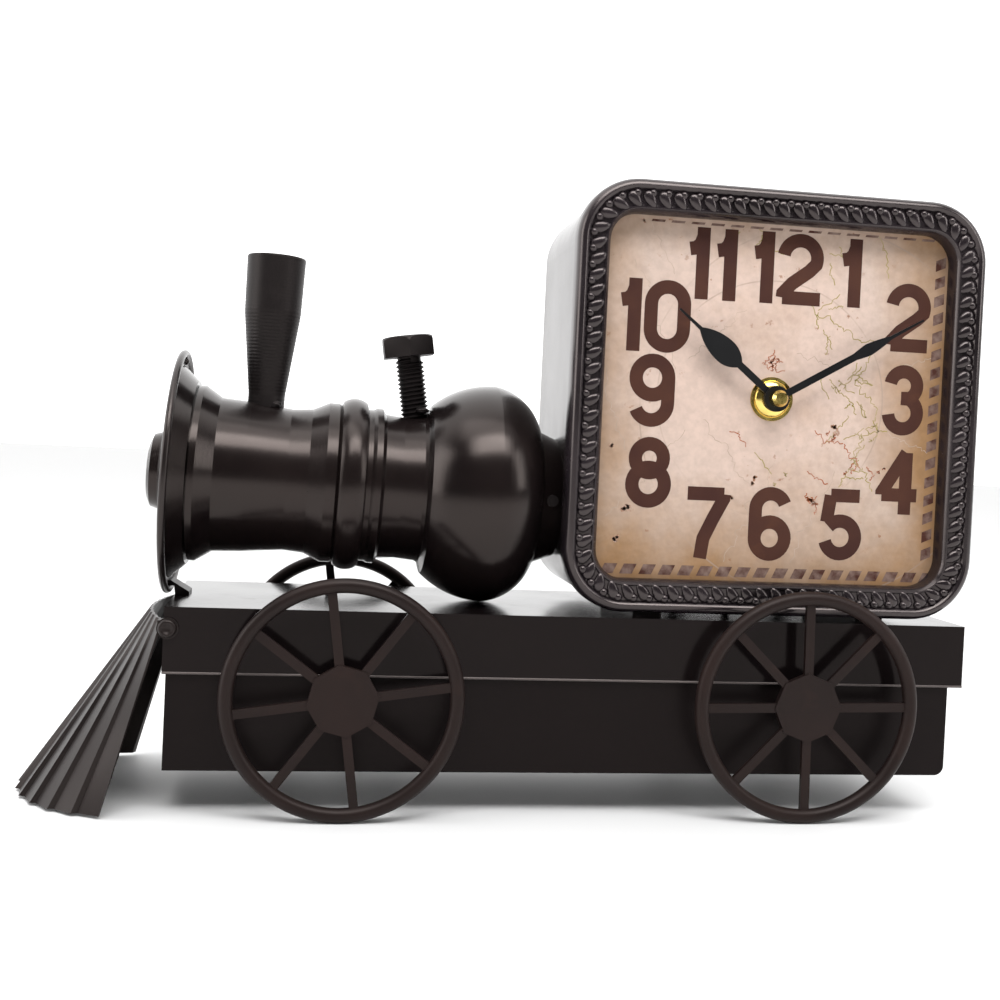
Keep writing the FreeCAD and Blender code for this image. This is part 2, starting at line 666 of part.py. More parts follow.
def make_cowcatcher():
    """A ruled, pleated fan from a shallow bow under the deck's edge to a wide foot, with a riveted ear each
    side."""
    bow = float(s.catcher_top_bulge)
    half = float(s.deck_half_width)
    top_radius = (bow * bow + half * half) / (2 * bow)
    top_angle = math.degrees(math.asin(half / top_radius))
    back_step = float(s.catcher_sheet + s.slip)
    foot = pleated_edge(s.nose_x - s.catcher_reach + s.catcher_foot_radius, s.catcher_foot_radius,
                        s.catcher_foot_angle, s.pleat_step, s.catcher_lift)
    top = pleated_edge(s.nose_x - back_step - bow + top_radius, top_radius, top_angle, s.pleat_step / 3,
                       s.catcher_top)
    fan = Part.makeLoft([foot, top], True, True)
    rivets = []
    for side in (-1, 1):
        wall = half + float(s.rest_gap)
        centre = FreeCAD.Vector(s.nose_x + s.catcher_rivet_back, side * wall, s.catcher_rivet_height)
        out = FreeCAD.Vector(0, side, 0)
        ear = Part.makeCylinder(s.catcher_rivet + 0.4, s.catcher_sheet, centre, out)
        strap_low = FreeCAD.Vector(s.nose_x - back_step * 2,
                                   min(side * wall, side * (wall + s.catcher_sheet)),
                                   s.catcher_rivet_height - 1)
        strap = Part.makeBox(back_step * 2 + s.catcher_rivet_back, s.catcher_sheet,
                             s.catcher_top - s.catcher_rivet_height + 1, strap_low)
        hole = Part.makeCylinder(s.catcher_pin + s.screw_slip, s.catcher_sheet * 3, centre - out, out)
        fan = fan.fuse([ear, strap]).cut(hole)
        head_base = centre + out * s.catcher_sheet
        pin = Part.makeCylinder(s.catcher_pin, s.catcher_sheet + s.sheet + s.rest_gap, head_base, -out)
        rise = s.catcher_rivet * 0.45
        ball = (s.catcher_rivet * s.catcher_rivet + rise * rise) / (2 * rise)
        dome = Part.makeSphere(ball, head_base - out * (ball - rise))
        cap = dome.common(Part.makeCylinder(s.catcher_rivet, rise, head_base, out))
        rivets.append(cap.fuse(pin))
    fan_item = doc.addObject("Part::Feature", "fan")
    fan_item.Shape = fan
    node("cowcatcher", fan_item)
    rivet_item = doc.addObject("Part::Feature", "fan_rivets")
    rivet_item.Shape = Part.makeCompound(rivets)
    node("cowcatcher_rivets", rivet_item)


# Smokebox, boiler and firebox: pieces threaded on one rod that leans with them


def on_boiler(along=0.0):
    return {**along_boiler(along), "about": Y_AXIS, "turn": s.boiler_lean}


def make_smokebox():
    hole = s.rod_radius + s.screw_slip
    edge = s.disc_radius - s.disc_rim
    plate = turned("disc_plate", [(0, hole), (s.sheet, hole), (s.sheet, edge), (0, edge)])
    rim = doc.addObject("Part::Torus", "disc_rim_bar")
    bind(rim, Radius1=edge, Radius2=s.disc_rim)
    place(rim, x=s.sheet, about=Y_AXIS, turn=90)
    node("smokebox_disc", place(join("disc_weld", [plate, rim]), **on_boiler()))

    wall = s.sheet * 1.2
    node("smokebox_dish", turned("dish", [
        (s.sheet, s.dish_radius), (s.sheet, s.dish_radius - wall),
        (s.dish_back - s.sheet, s.dish_back_radius - wall),
        (s.dish_back - s.sheet, hole), (s.dish_back, hole), (s.dish_back, s.dish_back_radius),
    ], **on_boiler()))

    boss = s.boss_radius
    end = -s.boss_length
    node("smokebox_boss", turned("boss", [
        (0, s.rod_radius), (0, boss), (end * 0.15, boss), (end * 0.42, boss * 0.94),
        (end * 0.5, boss * 0.88),
        (end * 0.86, boss * 0.82), (end, boss * 0.66), (end, 0), (end * 0.7, 0), (end * 0.7, s.rod_radius),
    ], **on_boiler()))

    rivet_place = along_boiler(s.sheet, s.disc_radius - s.disc_rim * 2 - s.bead_radius)
    bead = doc.addObject("Part::Sphere", "disc_bead")
    bind(bead, Radius=s.bead_radius)
    place(bead, **rivet_place)
    ahead = block("disc_bead_front", (-s.bead_radius * 2, -s.bead_radius * 2, -s.bead_radius * 2),
                  (0, s.bead_radius * 2, s.bead_radius * 2))
    place(ahead, x=rivet_place["x"] - s.bead_radius * 2 * s.lean_cos, y=-s.bead_radius * 2,
          z=rivet_place["z"] - s.bead_radius * 2, about=Y_AXIS, turn=s.boiler_lean)
    node("smokebox_rivet", cut("disc_bead_cut", bead, [ahead]))

    low = along_boiler(s.sheet, -(s.disc_radius - s.disc_rim * 2 - s.bracket_gap))
    high = along_boiler(s.sheet, -(s.dish_radius + s.bracket_gap))
    toe = s.nose_x + s.bracket_reach
    node("disc_foot_bracket", slab("bracket", [[
        (low["x"], low["z"]), (s.nose_x - s.sheet * 0.4, low["z"]), (s.nose_x, s.deck_top),
        (toe, s.deck_top),
        (toe, s.deck_top + s.sheet), (high["x"] + s.sheet, high["z"]), (high["x"], high["z"]),
    ]], s.bracket_width, y=-s.bracket_width / 2))


def barrel_profile():
    """The barrel's outer corners, from its seat on the dish to the seam."""
    front = s.dish_back
    end = s.barrel_end
    step = s.turning_step
    ring = s.ring_radius - s.ring_edge
    return [
        (front, s.band_radius), (front + s.lip_start, s.band_radius), (front + s.lip_start, s.flange_radius),
        (front + s.lip_end, s.flange_radius), (front + s.lip_foot, s.barrel_radius + step),
        (front + s.barrel_even, s.barrel_radius), (front + s.waist_place, s.barrel_waist),
        (end - s.band_foot, s.barrel_waist + step), (end - s.band_start, s.band_radius),
        (end - s.band_end, s.band_radius), (end - s.band_end + step, s.band_radius - step),
        (end - s.ring_start, ring), (end - s.ring_end, ring, -s.ring_round),
        (end - s.ring_end + step, s.seam_radius), (end, s.seam_radius),
    ]


def make_boiler():
    outer = barrel_profile()
    bore = [(s.barrel_end, s.bore_radius), (s.dish_back, s.bore_radius)]
    shell = turned("barrel", outer + bore, **on_boiler())
    stud = rod("barrel_stud_hole", s.chimney_screw + s.screw_slip, s.barrel_radius * 2, about=Y_AXIS,
               turn=s.boiler_lean, **along_boiler(s.chimney_place))
    node("boiler_barrel", cut("barrel_cut", shell, [stud]))

    end = s.bulb_end
    wall = s.tube_wall
    step = s.turning_step
    bead = s.barrel_end + s.seam_bead
    firebox = [
        (s.barrel_end, s.seam_radius), (s.barrel_end + step * 2, s.seam_radius + step),
        (bead - step * 2, s.seam_radius + step), (bead, s.waist_radius + step),
        (bead + s.waist_cone, s.waist_radius), (s.shoulder - step * 4, s.waist_radius + step),
        (s.shoulder - step * 2, s.waist_radius + step * 2), (s.shoulder, s.shoulder_radius),
        (s.bulb_middle, s.bulb_radius, -s.bulb_front_round), (end, s.bulb_end_radius, -s.bulb_back_round),
        (end, s.rod_radius + s.screw_slip), (end - wall, s.rod_radius + s.screw_slip),
        (end - wall, s.bulb_end_radius - wall), (end - wall * 4, s.bulb_radius - wall * 5),
        (s.bulb_middle, s.bulb_radius - wall), (s.shoulder + wall * 4, s.bulb_radius - wall * 4),
        (s.shoulder + wall, s.bore_radius), (s.barrel_end, s.bore_radius),
    ]
    bulb = turned("firebox", firebox, **on_boiler())
    node("firebox_bulb", cut("firebox_cut", bulb, [
        rod("dome_hole", s.dome_radius + s.screw_slip, s.dome_shank, about=Y_AXIS, turn=-s.dome_lean,
            x=s.nose_x + s.dome_place - s.dome_shank * -0.5 * s.dome_sin,
            z=s.dome_foot - s.dome_shank * 0.5 * s.dome_cos),
    ]))

    hole = s.rod_radius + s.screw_slip
    trim = s.collar_trim
    past = s.cab_offset + s.housing_inset + s.disc_front + trim
    collar = turned("collar", [
        (end, hole), (past, hole), (past, s.collar_cab_radius), (end, s.collar_radius),
    ], **on_boiler())
    cab_face = s.cab_x - s.housing_half
    wall_block = block("collar_trim", (cab_face, -s.collar_radius * 2, s.disc_z - s.collar_radius * 3),
                       (cab_face + 20, s.collar_radius * 2, s.disc_z + s.collar_radius * 3))
    middle = (end + past - trim) / 2
    reach = (s.collar_radius + s.collar_cab_radius) / 2
    seat = {**along_boiler(middle), "about": X_AXIS, "turn": 90}
    head_depth = s.neck_screw * 0.7
    shank_depth = s.neck_screw * 3
    head_y = head_depth * 0.4 - reach
    shank_y = shank_depth + head_y - head_depth
    tapping = rod("neck_tapping", s.neck_screw * 0.6, shank_depth, y=shank_y, **seat)
    counterbore = rod("neck_counterbore", s.neck_screw + s.screw_slip, shank_depth, y=head_y, **seat)
    node("neck_collar", cut("collar_cut", collar, [wall_block, tapping, counterbore]))
    node("neck_screw", join("neck_screw_weld", [
        rod("neck_screw_shank", s.neck_screw * 0.6, shank_depth, y=shank_y, **seat),
        rod("neck_screw_head", s.neck_screw, head_depth, y=head_y, **seat),
    ]))

    rod_end = past + s.rod_inside
    start = -s.boss_length * 0.7
    node("tie_rod", rod("tie_rod_bar", s.rod_radius, rod_end - start, **along_boiler(start), about=Y_AXIS,
                        turn=s.boiler_lean + 90))
    nut_place = past + s.rod_inside * 0.2
    nut = hexagon("tie_rod_nut_hex", s.rod_radius * 3.2, s.rod_radius * 1.6, **along_boiler(nut_place),
                  about=Y_AXIS,
                  turn=s.boiler_lean + 90)
    thread = rod("tie_rod_nut_bore", s.rod_radius, s.rod_radius * 4,
                 **along_boiler(nut_place - s.rod_radius),
                 about=Y_AXIS, turn=s.boiler_lean + 90)
    node("tie_rod_nut", cut("tie_rod_nut_cut", nut, [thread]))


def make_chimney():
    """A flared chimney saddled on the barrel, held by a screw from inside."""
    foot = s.barrel_waist - 2
    outline = [
        (foot, 0), (foot, s.chimney_foot_radius), (s.barrel_radius + 2.5, s.chimney_foot_radius),
        (s.chimney_bend, s.chimney_bend_radius), (s.chimney_top, s.chimney_top_radius),
        (s.chimney_top, s.chimney_bore), (s.chimney_top - s.chimney_bore_depth, s.chimney_bore),
        (s.chimney_top - s.chimney_bore_depth, 0),
    ]
    at = along_boiler(s.chimney_place)
    flare = turned("chimney_flare", outline, **at, about=Y_AXIS, turn=s.boiler_lean - 90)
    saddle = turned("barrel_form", [(s.dish_back, 0)] + barrel_profile() + [(s.barrel_end, 0)],
                    **on_boiler())
    tapped = rod("chimney_tapping", s.chimney_screw, s.chimney_bend * 0.8, about=Y_AXIS, turn=s.boiler_lean,
                 **at)
    node("chimney", cut("chimney_cut", flare, [saddle, tapped]))
    start = s.bore_radius - s.chimney_screw * 2
    under = along_boiler(s.chimney_place, start)
    node("chimney_screw", join("chimney_screw_weld", [
        rod("chimney_screw_head", s.chimney_screw * 2, s.chimney_screw * 1.4, about=Y_AXIS,
            turn=s.boiler_lean, **under),
        rod("chimney_screw_shank", s.chimney_screw, s.chimney_bend * 0.8 - start, about=Y_AXIS,
            turn=s.boiler_lean,
            **under),
    ]))


def make_dome():
    """The bolt that stands for the steam dome, and its nut inside the firebox."""
    def along_dome(along):
        return {
            "x": s.nose_x + s.dome_place - along * s.dome_sin,
            "z": s.dome_foot + along * s.dome_cos,
            "about": Y_AXIS,
            "turn": -s.dome_lean,
        }

    node("dome_bolt", join("dome_bolt_forging", [
        rod("dome_shank_bar", s.dome_radius, s.dome_inside + s.dome_shank + 1, **along_dome(-s.dome_inside)),
        hexagon("dome_head_hex", s.dome_flats, s.dome_head, **along_dome(s.dome_shank)),
    ]))
    nut = hexagon("dome_nut_hex", s.dome_flats, s.dome_head, **along_dome(-s.dome_nut_drop - s.dome_head))
    thread = rod("dome_nut_bore", s.dome_radius, s.dome_head * 3,
                 **along_dome(-s.dome_nut_drop - s.dome_head * 2))
    node("dome_nut", cut("dome_nut_cut", nut, [thread]))


# Cab


def make_cab():
    at = {"x": s.cab_x, "z": s.cab_z}
    front = s.dial_front
    depth = s.cab_back - front
    inner = s.housing_half - s.sheet
    inner_corner = s.housing_corner - s.sheet
    tube = slab("housing_tube", [rounded_square(s.housing_half, s.housing_corner),
                                 rounded_square(inner, inner_corner)],
                depth, y=front, **at)
    entry = along_boiler(s.cab_offset - s.rod_inside)
    rod_hole = rod("housing_rod_hole", s.rod_radius + s.screw_slip, s.rod_inside * 4, **entry, about=Y_AXIS,
                   turn=s.boiler_lean + 90)
    floor = s.cab_z - s.housing_half
    screw_holes = [
        rod(f"housing_hole_{side}", s.cab_screw_radius + s.screw_slip, s.sheet * 4,
            x=s.cab_x + side * s.cab_screw_pitch / 2, z=floor - s.sheet)
        for side in (-1, 1)
    ]
    node("cab_housing", cut("housing_cut", tube, [rod_hole] + screw_holes))

    spacers = []
    screws = []
    for side in (-1, 1):
        x = s.cab_x + side * s.cab_screw_pitch / 2
        strip = block(f"spacer_strip_{side}", (x - s.spacer_half, -s.spacer_reach, s.deck_top),
                      (x + s.spacer_half, s.spacer_reach, floor))
        hole = rod(f"spacer_hole_{side}", s.cab_screw_radius + s.screw_slip, s.deck_drop, x=x,
                   z=s.deck_top - 1)
        spacers.append(cut(f"spacer_{side}", strip, [hole]))
        foot = s.deck_top - s.sheet - s.cab_screw_radius * 2.5
        shank = rod(f"cab_screw_shank_{side}", s.cab_screw_radius, floor + s.sheet - foot, x=x, z=foot)
        head = rod(f"cab_screw_head_{side}", s.cab_screw_radius * 1.9, s.cab_screw_radius * 1.1, x=x,
                   z=floor + s.sheet)
        nut = hexagon(f"cab_screw_nut_{side}", s.cab_screw_radius * 3.4, s.cab_screw_radius * 1.5, x=x,
                      z=s.deck_top - s.sheet - s.cab_screw_radius * 1.5)
        screws.append(join(f"cab_screw_{side}", [shank, head, nut]))
    node("cab_spacers", group("spacer_group", spacers))
    node("cab_screws", group("cab_screw_group", screws))


def make_bezel():
    at = {"x": s.cab_x, "z": s.cab_z}
    window = s.cab_half - s.bezel_width
    frame = slab("bezel_frame", [rounded_square(s.cab_half, s.cab_corner),
                                 rounded_square(window, s.window_corner)],
                 s.bezel_depth, y=-s.cab_front, **at)
    doc.recompute()
    pad = frame.Tip
    rounding = frame.newObject("PartDesign::Fillet", "bezel_rounding")
    rounding.Base = (pad, outer_front_edges(pad.Shape))
    bind(rounding, Radius=s.bezel_round)
    skirt_out = s.housing_half - s.sheet - s.slip
    skirt_corner = s.housing_corner - s.sheet - s.slip
    skirt = slab("bezel_skirt", [rounded_square(skirt_out, skirt_corner),
                                 rounded_square(skirt_out - s.sheet, skirt_corner - s.sheet)],
                 s.skirt_depth, y=s.dial_front, **at)
    node("cab_bezel", join("bezel_weld", [frame, skirt]))

    board = skirt_out - s.sheet - s.slip
    dial = slab("dial_board", [rounded_square(board, skirt_corner - s.sheet - s.slip),
                               {"radius": s.stem_radius + s.screw_slip, "across": s.dial_shift_x,
                                "up": s.dial_shift_z}],
                s.dial_thick, y=s.dial_front, **at)
    node("dial_plate", dial)


def outer_front_edges(shape):
    """Names of the outer edges of the bezel's front face."""
    front = [
        (f"Edge{number}", edge) for number, edge in enumerate(shape.Edges, 1)
        if abs(edge.BoundBox.YMin) < 1e-6 and abs(edge.BoundBox.YMax) < 1e-6
    ]
    window = float(s.cab_half - s.bezel_width)
    return [
        name for name, edge in front
        if max(abs(edge.CenterOfMass.x), abs(edge.CenterOfMass.z)) > window + 1e-3
    ]


def make_back():
    at = {"x": s.cab_x, "z": s.cab_z}
    inner = s.housing_half - s.sheet
    cover_face = s.cab_back - s.sheet
    tab_x = inner - s.tab_side / 2
    spots = [(across * tab_x, up * s.tab_height) for across in (-1, 1) for up in (-1, 1)]
    holes = [{"radius": s.cover_screw_radius + s.screw_slip, "across": across, "up": up} for across,
             up in spots]
    cover = slab("cover_sheet", [rounded_square(inner - s.slip, s.housing_corner - s.sheet - s.slip),
                                 rounded_square(s.access_half, s.window_corner)] + holes,
                 s.sheet, y=cover_face, **at)
    node("back_cover", cover)
    tabs = []
    screws = []
    for number, (across, up) in enumerate(spots):
        x = s.cab_x + across
        z = s.cab_z + up
        half = s.tab_side / 2
        lug = block(f"tab_block_{number}", (x - half, cover_face - s.tab_side, z - half),
                    (x + half, cover_face, z + half))
        tapping = rod(f"tab_hole_{number}", s.cover_screw_radius, s.tab_side + 2, x=x, y=cover_face + 1, z=z,
                      about=X_AXIS, turn=90)
        tabs.append(cut(f"tab_{number}", lug, [tapping]))
        shank = rod(f"cover_screw_shank_{number}", s.cover_screw_radius, s.tab_side * 0.8 + s.sheet, x=x,
                    y=s.cab_back, z=z, about=X_AXIS, turn=90)
        head = rod(f"cover_screw_head_{number}", s.cover_screw_radius * 1.9, s.cover_screw_radius, x=x,
                   y=s.cab_back + s.cover_screw_radius, z=z, about=X_AXIS, turn=90)
        screws.append(join(f"cover_screw_{number}", [shank, head]))
    node("cover_tabs", group("tab_group", tabs))
    node("back_cover_screws", group("cover_screw_group", screws))


# Quartz movement, hands and battery


def case_block(name, front, back, inset):
    half = s.movement_half - inset
    return block(name, (s.axis_x - half, front, s.axis_z - half), (s.axis_x + half, back, s.axis_z + half))


def make_movement_case():
    front = s.movement_front
    back = s.movement_back
    split = front + s.case_split
    wall = s.case_wall
    half = s.movement_half
    bay_top = s.bay_z + s.battery_radius + s.battery_slip
    room = (s.axis_x - half + wall, front + wall, bay_top + wall), (s.axis_x + half - wall, split + 1,
        s.axis_z + half - wall)
    bay_reach = s.battery_length / 2 + s.contact_thick + s.battery_slip
    bay_low = s.bay_z - s.battery_radius - s.battery_slip
    bay_front = s.bay_y - s.battery_radius - s.battery_slip
    bay = (s.axis_x - bay_reach, bay_front, bay_low), (s.axis_x + bay_reach, back + 1, bay_top)
    stem_hole = rod("case_stem_hole", s.stem_radius, wall * 3, x=s.axis_x, y=front + wall * 2, z=s.axis_z,
                    about=X_AXIS, turn=90)
    node("movement_front_case", cut("front_case_cut", case_block("front_case_block", front, split, 0), [
        block("front_case_room", *room), block("front_case_bay", *bay), stem_hole,
    ]))
    back_room = (room[0][0], split - 1, room[0][2]), (room[1][0], back - wall, room[1][2])
    knob_hole = rod("case_knob_hole", s.knob_stem + s.pivot_slip, wall * 3, x=s.knob_x, y=back + wall,
                    z=s.knob_z,
                    about=X_AXIS, turn=90)
    node("movement_back_case", cut("back_case_cut", case_block("back_case_block", split, back, 0), [
        block("back_case_room", *back_room), block("back_case_bay", *bay), knob_hole,
    ]))
    contacts = []
    for side in (-1, 1):
        wall_x = s.axis_x + side * bay_reach
        near = wall_x if side < 0 else wall_x - s.contact_thick
        contacts.append(block(f"contact_{side}", (near, bay_front + 1, bay_low + 2),
                              (near + s.contact_thick, back - 1, bay_top - 2)))
    node("battery_contacts", group("contact_group", contacts))

    cell = s.battery_radius
    button = cell * 0.36
    body = s.battery_length - s.battery_button
    node("battery", turned("battery_cell", [
        (0, 0), (s.battery_length, 0), (s.battery_length, button), (body, button), (body, cell), (0, cell),
    ], x=s.axis_x - s.battery_length / 2, y=s.bay_y, z=s.bay_z))


def make_stem():
    front = s.movement_front
    wall = s.case_wall
    node("movement_stem", turned("stem", [
        (0, s.pipe_radius + s.pivot_slip), (wall + s.stem_length, s.pipe_radius + s.pivot_slip),
        (wall + s.stem_length, s.stem_radius), (0, s.stem_radius),
    ], x=s.axis_x, y=front + wall, z=s.axis_z, turn=-90))
    face = s.dial_front
    node("dial_washer", turned("washer", [
        (0, s.stem_radius + s.screw_slip), (s.washer_thick, s.stem_radius + s.screw_slip),
        (s.washer_thick, s.washer_radius), (0, s.washer_radius),
    ], x=s.axis_x, y=face, z=s.axis_z, turn=-90))
    nut = hexagon("dial_nut_hex", s.nut_flats, s.nut_thick, x=s.axis_x, y=face - s.washer_thick, z=s.axis_z,
                  about=X_AXIS, turn=90)
    thread = rod("dial_nut_bore", s.stem_radius, s.nut_thick * 3, x=s.axis_x, y=face + s.nut_thick,
                 z=s.axis_z,
                 about=X_AXIS, turn=90)
    node("dial_nut", cut("dial_nut_cut", nut, [thread]))


def make_gear(name, teeth, module, bore, thick, y, x, z, first_tooth):
    """A spur gear with straight-flanked teeth; first_tooth is the direction of one tooth, degrees."""
    pitch = teeth * module / 2
    root = pitch - module * 1.25
    top = pitch + module * 0.8
    wide = module * 0.78
    narrow = module * 0.3
    tooth = [(root - module * 0.4, -wide), (top, -narrow), (top, narrow), (root - module * 0.4, wide)]
    return star(name, [{"radius": root}, {"radius": bore}], thick, tooth, thick, teeth,
                x=x, y=y, z=z, about=Y_AXIS, turn=-first_tooth)


def hand_outline(length, swell, places, rear_round, front_round):
    """A hand that points up: a thin stem, a leaf and a needle tip; places are shares of its length."""
    root = s.hand_root
    needle = s.hand_needle
    foot = s.hand_collar * 0.8
    start, middle, end = (length * share for share in places)
    return [
        (root, foot), (root, start), (swell, middle, rear_round), (needle, end, front_round),
        (needle * 0.5, length), (needle * -0.5, length), (-needle, end), (-swell, middle, front_round),
        (-root, start, rear_round), (-root, foot),
    ]


def make_hand(name, bore, y, turn, outline):
    blade = slab(f"{name}_blade", [outline], s.hand_thick, x=s.axis_x, y=y, z=s.axis_z, about=Y_AXIS,
                 turn=turn)
    ring = rod(f"{name}_boss", s.hand_collar, s.hand_thick, x=s.axis_x, y=y + s.hand_thick, z=s.axis_z,
               about=X_AXIS, turn=90)
    hole = rod(f"{name}_hole", bore, s.hand_thick * 4, x=s.axis_x, y=y + s.hand_thick * 2, z=s.axis_z,
               about=X_AXIS, turn=90)
    return node(name, cut(f"{name}_cut", join(f"{name}_weld", [blade, ring]), [hole]))


def make_motion_work():
    """The hour wheel, the motion wheel, the minute arbor and the setting knob."""
    front = s.movement_front
    gap = s.gear_gap
    thin = s.gear_thick
    alpha = s.motion_angle
    hour_y = front + s.case_wall + gap + thin / 2
    minute_y = hour_y + thin + gap * 2
    arbor_bore = s.arbor_radius + s.pivot_slip

    hour_plate = make_gear("hour_gear", 40, s.hour_module, arbor_bore, thin, hour_y, s.axis_x, s.axis_z,
                           alpha + 4.5)
    pipe = turned("hour_pipe", [
        (0, arbor_bore), (s.pipe_end + hour_y - front, arbor_bore),
        (s.pipe_end + hour_y - front, s.pipe_radius),
        (0, s.pipe_radius),
    ], x=s.axis_x, y=hour_y, z=s.axis_z, turn=-90)
    node("hour_wheel", join("hour_wheel_weld", [hour_plate, pipe]))

    pinion = make_gear("minute_pinion", 12, s.gear_module, s.arbor_radius * 0.5, thin, minute_y, s.axis_x,
                       s.axis_z, alpha)
    back = minute_y + thin * 1.5
    arbor = rod("arbor_rod", s.arbor_radius, s.arbor_end + back - front, x=s.axis_x, y=back, z=s.axis_z,
                about=X_AXIS, turn=90)
    node("minute_arbor", join("minute_arbor_weld", [pinion, arbor]))

    wheel = make_gear("motion_gear", 36, s.gear_module, s.pivot_radius, thin, minute_y, s.motion_x,
                      s.motion_z, alpha + 185)
    leaf = make_gear("motion_leaf", 10, s.hour_module, s.pivot_radius, thin * 2 + gap * 2,
                     hour_y + thin / 2 + gap,
                     s.motion_x, s.motion_z, alpha + 180)
    node("motion_wheel", join("motion_wheel_weld", [wheel, leaf]))
    node("motion_post", rod("motion_post_rod", s.pivot_radius - s.pivot_slip, s.case_split, x=s.motion_x,
                            y=front + s.case_wall + s.case_split, z=s.motion_z, about=X_AXIS, turn=90))

    setter = make_gear("knob_pinion", 12, s.gear_module, s.knob_stem * 0.5, thin, minute_y, s.knob_x,
                       s.knob_z,
                       s.knob_angle + 180)
    outside = s.movement_back + s.gear_gap
    stem = rod("knob_stem_rod", s.knob_stem, outside + s.knob_length - minute_y, x=s.knob_x,
               y=outside + s.knob_length, z=s.knob_z, about=X_AXIS, turn=90)
    grip = rod("knob_grip", s.knob_radius, s.knob_length, x=s.knob_x, y=outside + s.knob_length, z=s.knob_z,
               about=X_AXIS, turn=90)
    node("setting_knob", join("setting_knob_weld", [setter, stem, grip]))

    hour_hand_y = front - s.pipe_end + s.hand_inset
    minute_hand_y = front - s.arbor_end + s.cap_length
    make_hand("hour_hand", s.pipe_radius, hour_hand_y, s.hour_turn, hand_outline(
        s.hour_length, s.hour_swell, (s.hour_leaf_start, s.hour_leaf_middle, s.hour_leaf_end),
        s.hour_rear_round, s.hour_front_round))
    make_hand("minute_hand", s.arbor_radius, minute_hand_y, s.minute_turn, hand_outline(
        s.minute_length, s.minute_swell, (s.minute_leaf_start, s.minute_leaf_middle, s.minute_leaf_end),
        s.minute_length, s.minute_length))
    end = s.cap_length + s.cap_cover
    node("hand_cap", turned("cap", [
        (0, s.arbor_radius), (s.cap_length, s.arbor_radius), (s.cap_length, 0), (end, 0),
        (end, s.cap_radius * 0.7),
        (s.cap_length, s.cap_radius), (0, s.cap_radius),
    ], x=s.axis_x, y=minute_hand_y, z=s.axis_z, turn=-90))


def make_electrics():
    front = s.movement_front + s.case_wall
    back = s.movement_back - s.case_wall
    right = s.axis_x + s.movement_half - s.case_wall
    top = s.axis_z + s.movement_half - s.case_wall
    node("circuit_board", block("board", (right - s.board_width, back - s.sheet * 2, top - s.board_height),
                                (right - s.sheet, back - s.sheet, top - s.sheet)))
    coil_y = back - s.sheet * 2 - s.coil_radius
    coil_x = right - s.coil_radius - s.sheet
    node("motor_coil", rod("coil", s.coil_radius, s.coil_length, x=coil_x, y=coil_y,
                           z=top - s.board_height - s.coil_length + s.coil_rise))
    node("motor_stator", block("stator", (coil_x - s.stator_width, coil_y + s.coil_radius - s.sheet,
                                          top - s.board_height - 9),
                               (coil_x - s.coil_radius - s.slip, coil_y + s.coil_radius,
                                top - s.board_height - s.sheet)))


make_chassis()
make_bushes()
make_wheelset("front", s.axle_front, s.spoke_turn_front)
make_wheelset("rear", s.axle_rear, s.spoke_turn_rear)
make_cowcatcher()
make_smokebox()
make_boiler()
make_chimney()
make_dome()
make_cab()
make_bezel()
make_back()
make_movement_case()
make_stem()
make_motion_work()
make_electrics()
doc.recompute()

for item in doc.Objects:
    if "Invalid" in item.State or "Error" in item.State:
        raise RuntimeError(f"{item.Label} did not build: {item.State}")
for name, item in nodes.items():
    if item.Shape.isNull() or not item.Shape.isValid():
        raise RuntimeError(f"{name} has no valid shape")

os.makedirs("parts", exist_ok=True)
for name, item in nodes.items():
    item.Shape.exportStep(f"parts/{name}.step")
print(len(nodes), "sub-parts")
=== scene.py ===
import bpy
import math
import random
from mathutils import Matrix, Vector


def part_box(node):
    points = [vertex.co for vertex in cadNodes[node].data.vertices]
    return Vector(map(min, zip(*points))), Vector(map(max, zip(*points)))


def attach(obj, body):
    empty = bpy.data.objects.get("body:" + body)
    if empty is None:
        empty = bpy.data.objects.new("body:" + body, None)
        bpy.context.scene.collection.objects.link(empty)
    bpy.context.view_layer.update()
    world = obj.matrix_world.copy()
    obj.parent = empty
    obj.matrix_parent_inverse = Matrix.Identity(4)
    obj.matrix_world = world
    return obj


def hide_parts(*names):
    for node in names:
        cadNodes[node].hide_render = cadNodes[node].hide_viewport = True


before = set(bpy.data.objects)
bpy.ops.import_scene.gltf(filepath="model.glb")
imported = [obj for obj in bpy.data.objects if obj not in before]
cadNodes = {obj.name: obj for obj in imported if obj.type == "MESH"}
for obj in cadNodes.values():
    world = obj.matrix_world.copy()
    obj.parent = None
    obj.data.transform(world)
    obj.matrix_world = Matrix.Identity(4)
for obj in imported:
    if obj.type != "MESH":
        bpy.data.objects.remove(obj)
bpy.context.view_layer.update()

mm = 0.001


def clearSelection():
    if bpy.context.mode != "OBJECT":
        bpy.ops.object.mode_set(mode="OBJECT")
    bpy.ops.object.select_all(action="DESELECT")


def makeActive(piece):
    clearSelection()
    piece.select_set(True)
    bpy.context.view_layer.objects.active = piece


def applyPlace(piece):
    makeActive(piece)
    bpy.ops.object.transform_apply(location=True, rotation=True, scale=True)


def applyModifiers(piece):
    makeActive(piece)
    for modifier in list(piece.modifiers):
        bpy.ops.object.modifier_apply(modifier=modifier.name)


def joinPieces(pieces, name):
    clearSelection()
    for piece in pieces:
        piece.select_set(True)
    bpy.context.view_layer.objects.active = pieces[0]
    bpy.ops.object.join()
    joined = bpy.context.view_layer.objects.active
    joined.name = name
    return joined


def copyOf(piece):
    twin = piece.copy()
    twin.data = piece.data.copy()
    bpy.context.collection.objects.link(twin)
    return twin


def smoothByAngle(piece, degrees=35):
    makeActive(piece)
    bpy.ops.object.shade_smooth_by_angle(angle=math.radians(degrees))


